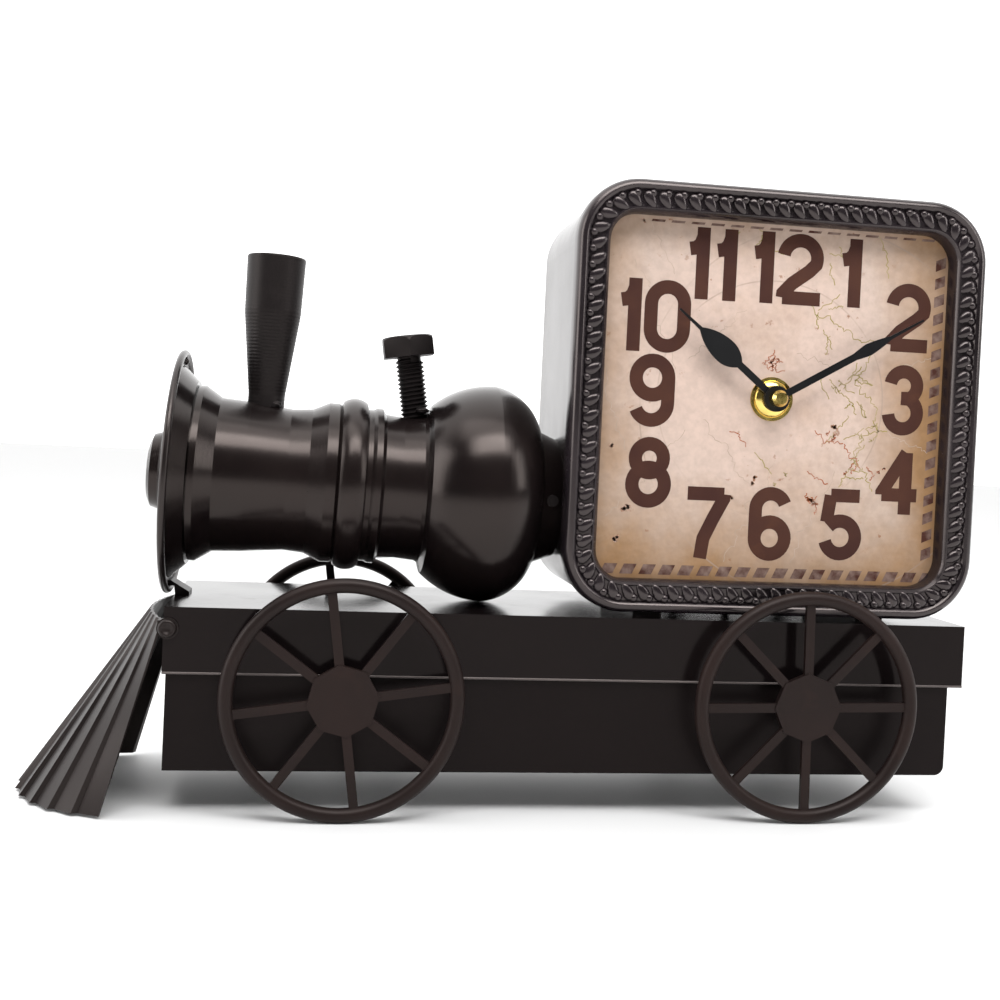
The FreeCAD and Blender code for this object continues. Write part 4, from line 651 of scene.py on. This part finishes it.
def strokeMesh(name, strokes, width):
    # flat ribbons; each stroke lies a hair above the one before it
    corners, faces = [], []
    for level, points in enumerate(strokes):
        points = [Vector(point) for point in points]
        first = len(corners)
        lift = level * printValues["strokeLift"]
        closed = (points[0] - points[-1]).length < 0.001
        for index, point in enumerate(points):
            before = (point - points[index - 1]).normalized() if index else None
            after = (points[index + 1] - point).normalized() if index + 1 < len(points) else None
            if closed and not (before and after):
                before = (points[-1] - points[-2]).normalized()
                after = (points[1] - points[0]).normalized()
            along = ((before or after) + (after or before)).normalized()
            reach = width / 2
            if before and after:
                reach /= max(along.dot(after), printValues["sharpest"])
            side = Vector((-along.y, along.x)) * reach
            corners += [(*(point + side), lift), (*(point - side), lift)]
            if index:
                low = first + 2 * index
                faces.append((low - 2, low - 1, low + 1, low))
    return flatPiece(name, corners, faces)


def buildNumerals():
    stroke = printValues["stroke"]
    pieces = []
    for body, (x, z, width, height) in numerals.items():
        widths = {"1": printValues["oneWidth"]}
        gap = printValues["gap"]
        narrow = sum(widths.get(digit, 0) for digit in body)
        others = [digit for digit in body if digit not in widths]
        wide = (width - narrow - gap * (len(body) - 1)) / len(others) if others else 0
        left = x - width / 2
        for order, digit in enumerate(body):
            own = widths.get(digit, wide)
            strokes = digitStrokes(digit, own - stroke, height - stroke)
            piece = strokeMesh("numeral" + body + digit, strokes, stroke)
            layPrint(piece, left + own / 2, z)
            pieces.append(piece)
            left += own + gap
    inked = joinPieces(pieces, "dialNumerals")
    finishPiece(inked, "root", "dial_print", numeralInk)


buildNumerals()
print("numerals made")


inkTones = {
    # tone, and how far it has faded
    "mapGreen": ((0.24, 0.20, 0.03, 1), 0.5), "mapRed": ((0.30, 0.075, 0.022, 1), 0.4),
    "mapGrey": ((0.34, 0.27, 0.21, 1), 0.7), "mapSpots": ((0.26, 0.11, 0.05, 1), 0.7),
    "borderBrown": ((0.065, 0.022, 0.015, 1), 0.35),
}


def inkMaterial(name, tone, fading):
    material, tree, principled = newMaterial(name, **{"Roughness": 0.7, "Specular IOR Level": 0.2})
    place = addNode(tree, "ShaderNodeTexCoord").outputs["Object"]
    fade = mapRange(tree, noiseNode(tree, place, 300.0, 4.0), 0.35, 0.7, 0.0, fading)
    tree.links.new(mixColour(tree, fade, tone, cardValues["middle"]), principled.inputs["Base Color"])
    return material


inks = {name: inkMaterial(name, tone, fading) for name, (tone, fading) in inkTones.items()}


def wander(start, end, sway, count, seed):
    # a drifting line from start to end, like a traced coast or river
    picker = random.Random(seed)
    points = []
    drift = 0.0
    run = Vector((end[0] - start[0], end[1] - start[1]))
    side = Vector((-run.y, run.x)).normalized()
    for step in range(count + 1):
        share = step / count
        drift = drift * 0.75 + picker.uniform(-sway, sway)
        ease = math.sin(math.pi * share) ** 0.5 if 0 < share < 1 else 0.0
        slip = run.normalized() * picker.uniform(-0.4, 0.4)
        points.append(Vector(start) + run * share + side * drift * ease + slip)
    return points


def scribbles(middles, spread, length, count, seed):
    # short wandering strokes gathered about a few places
    picker = random.Random(seed)
    lines = []
    for _ in range(count):
        x, z = picker.choice(middles)
        start = (x + picker.uniform(-spread, spread), z + picker.uniform(-spread, spread))
        end = (start[0] + picker.uniform(-length, length), start[1] + picker.uniform(-length, length))
        lines.append(wander(start, end, 0.6, 12, picker.randrange(1000)))
    return lines


def inkLines(name, lines, width, material, level):
    corners, faces = [], []
    for points in lines:
        first = len(corners)
        for index, point in enumerate(points):
            ahead = points[min(index + 1, len(points) - 1)] - points[max(index - 1, 0)]
            side = Vector((-ahead.y, ahead.x)).normalized() * width / 2
            corners += [(*(point + side), 0), (*(point - side), 0)]
            if index:
                low = first + 2 * index
                faces.append((low - 2, low - 1, low + 1, low))
    piece = flatPiece(name, corners, faces)
    layPrint(piece, 0, 0, level)
    finishPiece(piece, "root", "dial_print", material)


mapLines = {
    # start, end, sway, steps and seed of each long line, in millimetres from the hands' axis
    "mapCoastGreen": [
        ((36, 22), (30, 8), 1.3, 22, 3), ((30, 8), (38, -4), 1.5, 22, 4), ((38, -4), (31, -18), 1.4, 26, 5),
        ((31, -18), (38, -30), 1.2, 20, 6), ((12, 33), (24, 26), 1.0, 18, 7),
        ((24, 26), (36, 22), 1.2, 18, 8),
        ((20, -14), (28, -4), 1.1, 18, 9), ((36, 58), (40, 44), 1.0, 16, 10),
    ],
    "mapCoastRed": [
        ((-4, 12), (4, 10), 1.1, 18, 11), ((16, -10), (27, -14), 1.3, 22, 12),
        ((27, -14), (33, -22), 1.0, 18, 13),
        ((14, -24), (22, -28), 0.9, 14, 14), ((-14, -12), (-8, -17), 0.8, 12, 15),
    ],
    "mapSpots": [],
    "mapRivers": [
        ((-56, -42), (-30, -12), 1.6, 40, 21), ((-50, 44), (-34, 8), 1.5, 40, 22),
        ((-24, -8), (-6, -30), 1.4, 30, 23), ((-10, 30), (-30, 12), 1.3, 30, 24),
        ((8, 16), (24, 12), 1.1, 22, 25),
        ((2, -22), (-14, -56), 1.4, 36, 26), ((10, -56), (24, -24), 1.4, 36, 27),
        ((-58, 8), (-50, -20), 1.2, 26, 28), ((-46, 58), (-36, 40), 1.2, 20, 29),
        ((40, 10), (58, 18), 1.2, 20, 30),
        ((42, -8), (58, -16), 1.2, 20, 31),
    ],
}
mapScribbles = {
    # places, spread, length, count and seed
    "mapCoastGreen": ([(18, 27), (25, 6), (31, 0), (37, -10), (30, -22), (22, 46), (-9, 53), (5, -27)],
        5.0, 8.0, 42, 41),
    "mapCoastRed": ([(13, -4), (22, -12), (30, -23), (28, -30), (16, -34), (0, 13), (40, -24)],
        2.0, 3.4, 30, 42),
    "mapSpots": ([(-48, 57), (-54, -17), (-5, -29), (-52, -50), (-13, -34), (24, -9), (-49, -39)],
        1.0, 1.2, 16, 43),
}
mapInks = {
    # width, ink and level on the card
    "mapCoastGreen": (0.32, "mapGreen", -0.028), "mapCoastRed": (0.36, "mapRed", -0.024),
    "mapSpots": (0.8, "mapSpots", -0.016), "mapRivers": (0.20, "mapGrey", -0.020),
}
for name, (width, ink, level) in mapInks.items():
    lines = [wander(*line) for line in mapLines[name]]
    if name in mapScribbles:
        lines += scribbles(*mapScribbles[name])
    inkLines(name, lines, width, inks[ink], level)

borderLevel = -0.012
borderRows = {
    # first place from the cab's middle, step, count, and one block's corners
    "foot": ((-58.0, -59.6), (6.7, 0), 18, [(0, 0), (4.4, 0), (6.0, 3.4), (1.6, 3.4)]),
    "right": ((56.4, -52.0), (0, 6.3), 17, [(0, 0), (3.6, 1.5), (3.6, 5.2), (0, 3.7)]),
    "top": ((-46.0, 59.0), (6.9, 0), 15, [(0, 0), (4.6, 0), (5.0, 0.8), (0.4, 0.8)]),
}


def buildBorder():
    # slanted blocks along the bottom and the right side, short dashes along the top
    shift = (cabMiddle - hub) / mm
    corners = []
    for (x, z), (stepX, stepZ), count, block in borderRows.values():
        for step in range(count):
            corners += [(shift.x + x + step * stepX + alongX, shift.z + z + step * stepZ + alongZ, 0)
                        for alongX, alongZ in block]
    faces = [(n, n + 1, n + 2, n + 3) for n in range(0, len(corners), 4)]
    piece = flatPiece("dialBorder", corners, faces)
    layPrint(piece, 0, 0, borderLevel)
    finishPiece(piece, "root", "dial_print", inks["borderBrown"])


buildBorder()
print("dial print made")


def standAlong(piece, foot, direction):
    # the piece was turned about its own Z; set its foot and lean
    piece.matrix_world = Matrix.Translation(foot) @ direction.to_track_quat("Z", "Y").to_matrix().to_4x4()
    applyPlace(piece)


hubDomeValues = {
    "profile": [(0.0, 4.1), (0.0, 6.4), (0.45, 6.35), (0.95, 5.9), (1.45, 5.2), (1.8, 4.5), (1.9, 4.1)],
    "steps": 48, "stand": 0.5, "smooth": 40,
}


def buildHubDome():
    v = hubDomeValues
    profile = [(height * mm, radius * mm) for height, radius in v["profile"]]
    dome = spunPiece("hubDome", profile, v["steps"], closed=True)
    standAlong(dome, Vector((hub.x, hub.y - v["stand"] * mm, hub.z)), Vector((0, -1, 0)))
    smoothByAngle(dome, v["smooth"])
    finishPiece(dome, "root", "brass", brass, "dial_nut")


buildHubDome()
print("hub washer made")

boilerLean = math.radians(1.882)
discMiddle = Vector((-0.1130, 0, 0.10693))
chimneyValues = {
    "place": 28.8, "foot": 24.2, "footRadius": 6.2, "flareStart": 28.1, "bend": 55.8, "bendRadius": 9.5,
    "top": 75.6, "topRadius": 9.92, "bore": 7.6, "boreDepth": 24.0, "rib": 0.055, "pitch": 1.15, "plain": 1.6,
    "lip": [(-0.7, -0.02), (-0.15, -0.25), (0.0, -0.8)], "mouth": 0.4, "steps": 56, "smooth": 50,
}


def onBoiler(along, out):
    return discMiddle + Vector((along * math.cos(boilerLean) + out * math.sin(boilerLean), 0,
                                out * math.cos(boilerLean) - along * math.sin(boilerLean))) * mm


def buildChimney():
    v = chimneyValues

    def radiusAt(height):
        if height < v["flareStart"]:
            return v["footRadius"]
        if height < v["bend"]:
            share = (height - v["flareStart"]) / (v["bend"] - v["flareStart"])
            return v["footRadius"] + share * (v["bendRadius"] - v["footRadius"])
        share = (height - v["bend"]) / (v["top"] - v["bend"])
        return v["bendRadius"] + share * (v["topRadius"] - v["bendRadius"])

    profile = [(v["foot"], 0.0)]
    height = v["foot"]
    while height < v["top"] - v["plain"]:
        radius = radiusAt(height)
        profile += [(height, radius - v["rib"]), (height + v["pitch"] * 0.5, radius),
                    (height + v["pitch"] * 0.85, radius - v["rib"] * 0.3)]
        height += v["pitch"]
    top, bore, inside = v["top"], v["bore"], v["top"] - v["boreDepth"]
    profile += [(top + down, v["topRadius"] + inward) for down, inward in v["lip"]]
    profile += [(top, bore + v["mouth"]), (top - v["mouth"], bore), (inside, bore), (inside, 0.0)]
    stack = spunPiece("chimneyStack", [(along * mm, radius * mm) for along, radius in profile], v["steps"])
    direction = Vector((math.sin(boilerLean), 0, math.cos(boilerLean)))
    standAlong(stack, onBoiler(v["place"], 0), direction)
    smoothByAngle(stack, v["smooth"])
    finishPiece(stack, "root", "black_paint", enamels["boltEnamel"], "chimney")


buildChimney()
print("chimney made")


domeValues = {
    "x": -32.3, "z": 130.33, "lean": 8.5, "shank": 19.9, "below": 9.1, "major": 4.85, "minor": 4.02,
    "pitch": 1.5, "steps": 30,
    "thread": [(0.0, "minor"), (0.42, "major"), (0.55, "major"), (0.97, "minor"), (1.0, "minor")],
    "coreCover": 0.05, "flats": 17.0, "head": 7.2, "edge": 0.25,
    # radius at each depth below the head's top
    "crown": [(1.9, 9.84), (1.0, 9.45), (0.35, 8.8), (0.0, 7.8), (-0.001, 0.0)], "crownFoot": 1.0,
}


def buildDomeBolt():
    v = domeValues
    lean = math.radians(v["lean"])
    direction = Vector((-math.sin(lean), 0, math.cos(lean)))
    foot = Vector((v["x"] * mm, 0, v["z"] * mm))
    turns = round((v["below"] + v["shank"]) / v["pitch"])

    mesh = bpy.data.meshes.new("boltThread")
    pitch = v["pitch"] * mm
    flank = [(v[radius] * mm, 0, pitch * share) for share, radius in v["thread"]]
    mesh.from_pydata(flank, [(n, n + 1) for n in range(len(flank) - 1)], [])
    thread = bpy.data.objects.new("boltThread", mesh)
    bpy.context.collection.objects.link(thread)
    screw = thread.modifiers.new("turns", "SCREW")
    screw.screw_offset = pitch
    screw.iterations = turns - 1
    screw.steps = v["steps"]
    screw.render_steps = v["steps"]
    screw.use_merge_vertices = True
    screw.merge_threshold = 0.000001
    applyModifiers(thread)
    makeActive(thread)
    bpy.ops.object.mode_set(mode="EDIT")
    bpy.ops.mesh.select_all(action="SELECT")
    bpy.ops.mesh.remove_doubles(threshold=0.000002)
    bpy.ops.mesh.normals_make_consistent(inside=False)
    bpy.ops.object.mode_set(mode="OBJECT")
    thread.location.z = -v["below"] * mm
    applyPlace(thread)
    smoothByAngle(thread, 35)

    clearSelection()
    bpy.ops.mesh.primitive_cylinder_add(vertices=32, radius=(v["minor"] + v["coreCover"]) * mm,
                                        depth=(v["below"] + v["shank"]) * mm,
                                        location=(0, 0, (v["shank"] - v["below"]) / 2 * mm))
    core = bpy.context.object
    applyPlace(core)
    smoothByAngle(core, 35)

    clearSelection()
    across = v["flats"] / math.sqrt(3)
    bpy.ops.mesh.primitive_cylinder_add(vertices=6, radius=across * mm, depth=v["head"] * mm,
                                        rotation=(0, 0, math.pi / 6),
                                        location=(0, 0, (v["shank"] + v["head"] / 2) * mm))
    head = bpy.context.object
    applyPlace(head)
    top = v["shank"] + v["head"]
    low = v["shank"] - v["crownFoot"]
    crown = [(low, 0.0), (low, v["crown"][0][1])] + [(top - depth, radius) for depth, radius in v["crown"]]
    trim = spunPiece("headTrim", [(along * mm, radius * mm) for along, radius in crown], 64)
    chamfer = head.modifiers.new("chamfer", "BOOLEAN")
    chamfer.operation = "INTERSECT"
    chamfer.object = trim
    chamfer.solver = "EXACT"
    applyModifiers(head)
    bpy.data.objects.remove(trim)
    edge = head.modifiers.new("edge", "BEVEL")
    edge.width = v["edge"] * mm
    edge.segments = 2
    edge.limit_method = "ANGLE"
    edge.angle_limit = math.radians(28)
    applyModifiers(head)
    smoothByAngle(head, 24)
    bolt = joinPieces([thread, core, head], "threadedDomeBolt")
    standAlong(bolt, foot, direction)
    finishPiece(bolt, "root", "black_bolt", enamels["boltEnamel"], "dome_bolt")


buildDomeBolt()
print("dome bolt made")


def weldBlob(name, middle, size, seed, slot):
    clearSelection()
    bpy.ops.mesh.primitive_ico_sphere_add(subdivisions=3, radius=1.0)
    blob = bpy.context.object
    blob.name = name
    picker = random.Random(seed)
    waves = [(Vector((picker.uniform(-1, 1), picker.uniform(-1, 1), picker.uniform(-1, 1))).normalized(),
              picker.uniform(2, 4), picker.uniform(0.03, 0.08)) for _ in range(5)]  # way, beat and depth
    for vertex in blob.data.vertices:
        swell = 1.0
        for way, beat, depth in waves:
            swell += depth * math.sin(beat * way.dot(vertex.co) * 2 + beat)
        vertex.co = vertex.co * swell * 0.92
    blob.scale = [part * mm for part in size]
    blob.location = middle
    applyPlace(blob)
    makeActive(blob)
    bpy.ops.object.shade_smooth()
    finishPiece(blob, "root", slot, enamels["boltEnamel"])


weldValues = {
    # middle, size, seed and slot
    "chimneyWeldNear": (onBoiler(31.8, 25.2) + Vector((0, -4.4, 0)) * mm, (2.6, 1.9, 1.5), 5, "black_paint"),
    "chimneyWeldFar": (onBoiler(24.4, 25.2) + Vector((0, 4.0, 0)) * mm, (2.2, 1.8, 1.2), 6, "black_paint"),
    "domeWeldNear": (Vector((-30.2, -4.6, 131.6)) * mm, (2.6, 1.8, 1.2), 8, "black_bolt"),
}
for name, values in weldValues.items():
    weldBlob(name, *values)
print("welds made")

fanRivetValues = {
    # height and radius as shares of the head's own
    "profile": [(0.0, 1.0), (0.35, 0.98), (0.8, 0.88), (1.0, 0.72), (0.95, 0.56), (0.55, 0.42), (0.45, 0.0)],
    "rise": 0.45, "steps": 32, "smooth": 50,
}


def buildFanRivets():
    # heads pressed in at the middle, so that each reads as a ring
    v = fanRivetValues
    low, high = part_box("cowcatcher_rivets")
    radius = (high.x - low.x) / 2
    rise = radius * v["rise"]
    heads = []
    for side in (-1, 1):
        head = spunPiece(f"fanRivet{side}", [(h * rise, r * radius) for h, r in v["profile"]], v["steps"])
        head.rotation_euler = (-side * math.pi / 2, 0, 0)
        head.location = ((low.x + high.x) / 2, side * (high.y - rise), (low.z + high.z) / 2)
        applyPlace(head)
        heads.append(head)
    rivets = joinPieces(heads, "fanRivetHeads")
    smoothByAngle(rivets, v["smooth"])
    finishPiece(rivets, "root", "black_paint", enamels["fanEnamel"], "cowcatcher_rivets")


buildFanRivets()
print("fan rivets made")


hemValues = {"radius": 0.42, "inset": 0.15, "lift": 0.30, "sides": 14, "smooth": 40}


def buildHem():
    # rolled edge along the foot of the deck's two long sides, in a lighter tone that is a painted highlight
    v = hemValues
    low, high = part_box("chassis_deck")
    pieces = []
    for side in (low.y + v["inset"] * mm, high.y - v["inset"] * mm):
        clearSelection()
        bpy.ops.mesh.primitive_cylinder_add(vertices=v["sides"], radius=v["radius"] * mm,
                                            depth=high.x - low.x,
                                            location=((low.x + high.x) / 2, side, low.z + v["lift"] * mm),
                                            rotation=(0, math.pi / 2, 0))
        pieces.append(bpy.context.object)
        applyPlace(bpy.context.object)
    hem = joinPieces(pieces, "deckHem")
    smoothByAngle(hem, v["smooth"])
    finishPiece(hem, "root", "black_paint", enamels["hemHighlightPaint"])


buildHem()
print("hem made")

stageValues = {
    "floorSize": 12.0, "floorTone": (0.72, 0.72, 0.72, 1), "floorRoughness": 0.55,
    # light of the room on the viewer's side and behind, and where one turns into the other
    "front": 0.10, "behind": 1.9, "turnFrom": -0.25, "turnTo": 0.12,
}


def plainStage():
    v = stageValues
    clearSelection()
    bpy.ops.mesh.primitive_plane_add(size=v["floorSize"], location=(0, 0, 0))
    floor = bpy.context.object
    floor.name = "studioFloor"
    material, _, principled = newMaterial("paleFloor", Roughness=v["floorRoughness"])
    principled.inputs["Base Color"].default_value = v["floorTone"]
    floor.data.materials.append(material)
    # bright backdrop behind the object, dark room on the viewer's side
    world = bpy.data.worlds.new("studioWorld")
    bpy.context.scene.world = world
    world.use_nodes = True
    tree = world.node_tree
    way = addNode(tree, "ShaderNodeTexCoord").outputs["Generated"]
    parts = addNode(tree, "ShaderNodeSeparateXYZ", {0: way})
    behind = mapRange(tree, parts.outputs["Y"], v["turnFrom"], v["turnTo"])
    background = tree.nodes["Background"]
    background.inputs["Color"].default_value = (1, 1, 1, 1)
    tree.links.new(mapRange(tree, behind, 0.0, 1.0, v["front"], v["behind"]), background.inputs["Strength"])


softboxes = {
    # place, aim, width, height, power
    "overhead": ((-0.10, -0.30, 1.10), (0.0, 0.0, 0.10), 1.0, 0.45, 4.0),
    "noseSide": ((-1.15, -0.25, 0.50), (0.0, 0.0, 0.12), 0.5, 0.9, 6.0),
    "cabSide": ((1.10, -0.60, 0.60), (0.05, 0.0, 0.12), 0.3, 0.8, 4.0),
    "front": ((0.10, -0.80, 1.30), (0.05, 0.0, 0.14), 1.5, 0.5, 22.0),
}


def buildLights():
    for name, (place, aim, width, height, power) in softboxes.items():
        data = bpy.data.lights.new(name, "AREA")
        data.shape = "RECTANGLE"
        data.size = width
        data.size_y = height
        data.energy = power
        light = bpy.data.objects.new(name, data)
        bpy.context.collection.objects.link(light)
        way = Vector(aim) - Vector(place)
        light.matrix_world = Matrix.Translation(place) @ way.to_track_quat("-Z", "Y").to_matrix().to_4x4()


cameraValues = {"place": (-0.06587, -0.43789, 0.12240), "yaw": 8.761, "pitch": -1.227, "roll": 2.682,
                "lens": 45.16, "shiftX": -0.0085, "shiftY": -0.032, "sensor": 36.0}


def buildCamera():
    v = cameraValues
    yaw, pitch, roll = (math.radians(v[key]) for key in ("yaw", "pitch", "roll"))
    forward = Vector((math.sin(yaw) * math.cos(pitch), math.cos(yaw) * math.cos(pitch), math.sin(pitch)))
    right = Vector((math.cos(yaw), -math.sin(yaw), 0))
    up = right.cross(forward)
    across = right * math.cos(roll) + up * math.sin(roll)
    above = up * math.cos(roll) - right * math.sin(roll)
    data = bpy.data.cameras.new("studioCamera")
    data.sensor_width = v["sensor"]
    data.lens = v["lens"]
    data.shift_x = v["shiftX"]
    data.shift_y = v["shiftY"]
    data.clip_start = 0.01
    camera = bpy.data.objects.new("studioCamera", data)
    bpy.context.collection.objects.link(camera)
    turn = Matrix((across, above, -forward)).transposed().to_4x4()
    camera.matrix_world = Matrix.Translation(v["place"]) @ turn
    bpy.context.scene.camera = camera


plainStage()
buildLights()
buildCamera()
bpy.context.scene.view_settings.view_transform = "Standard"
print("stage made")
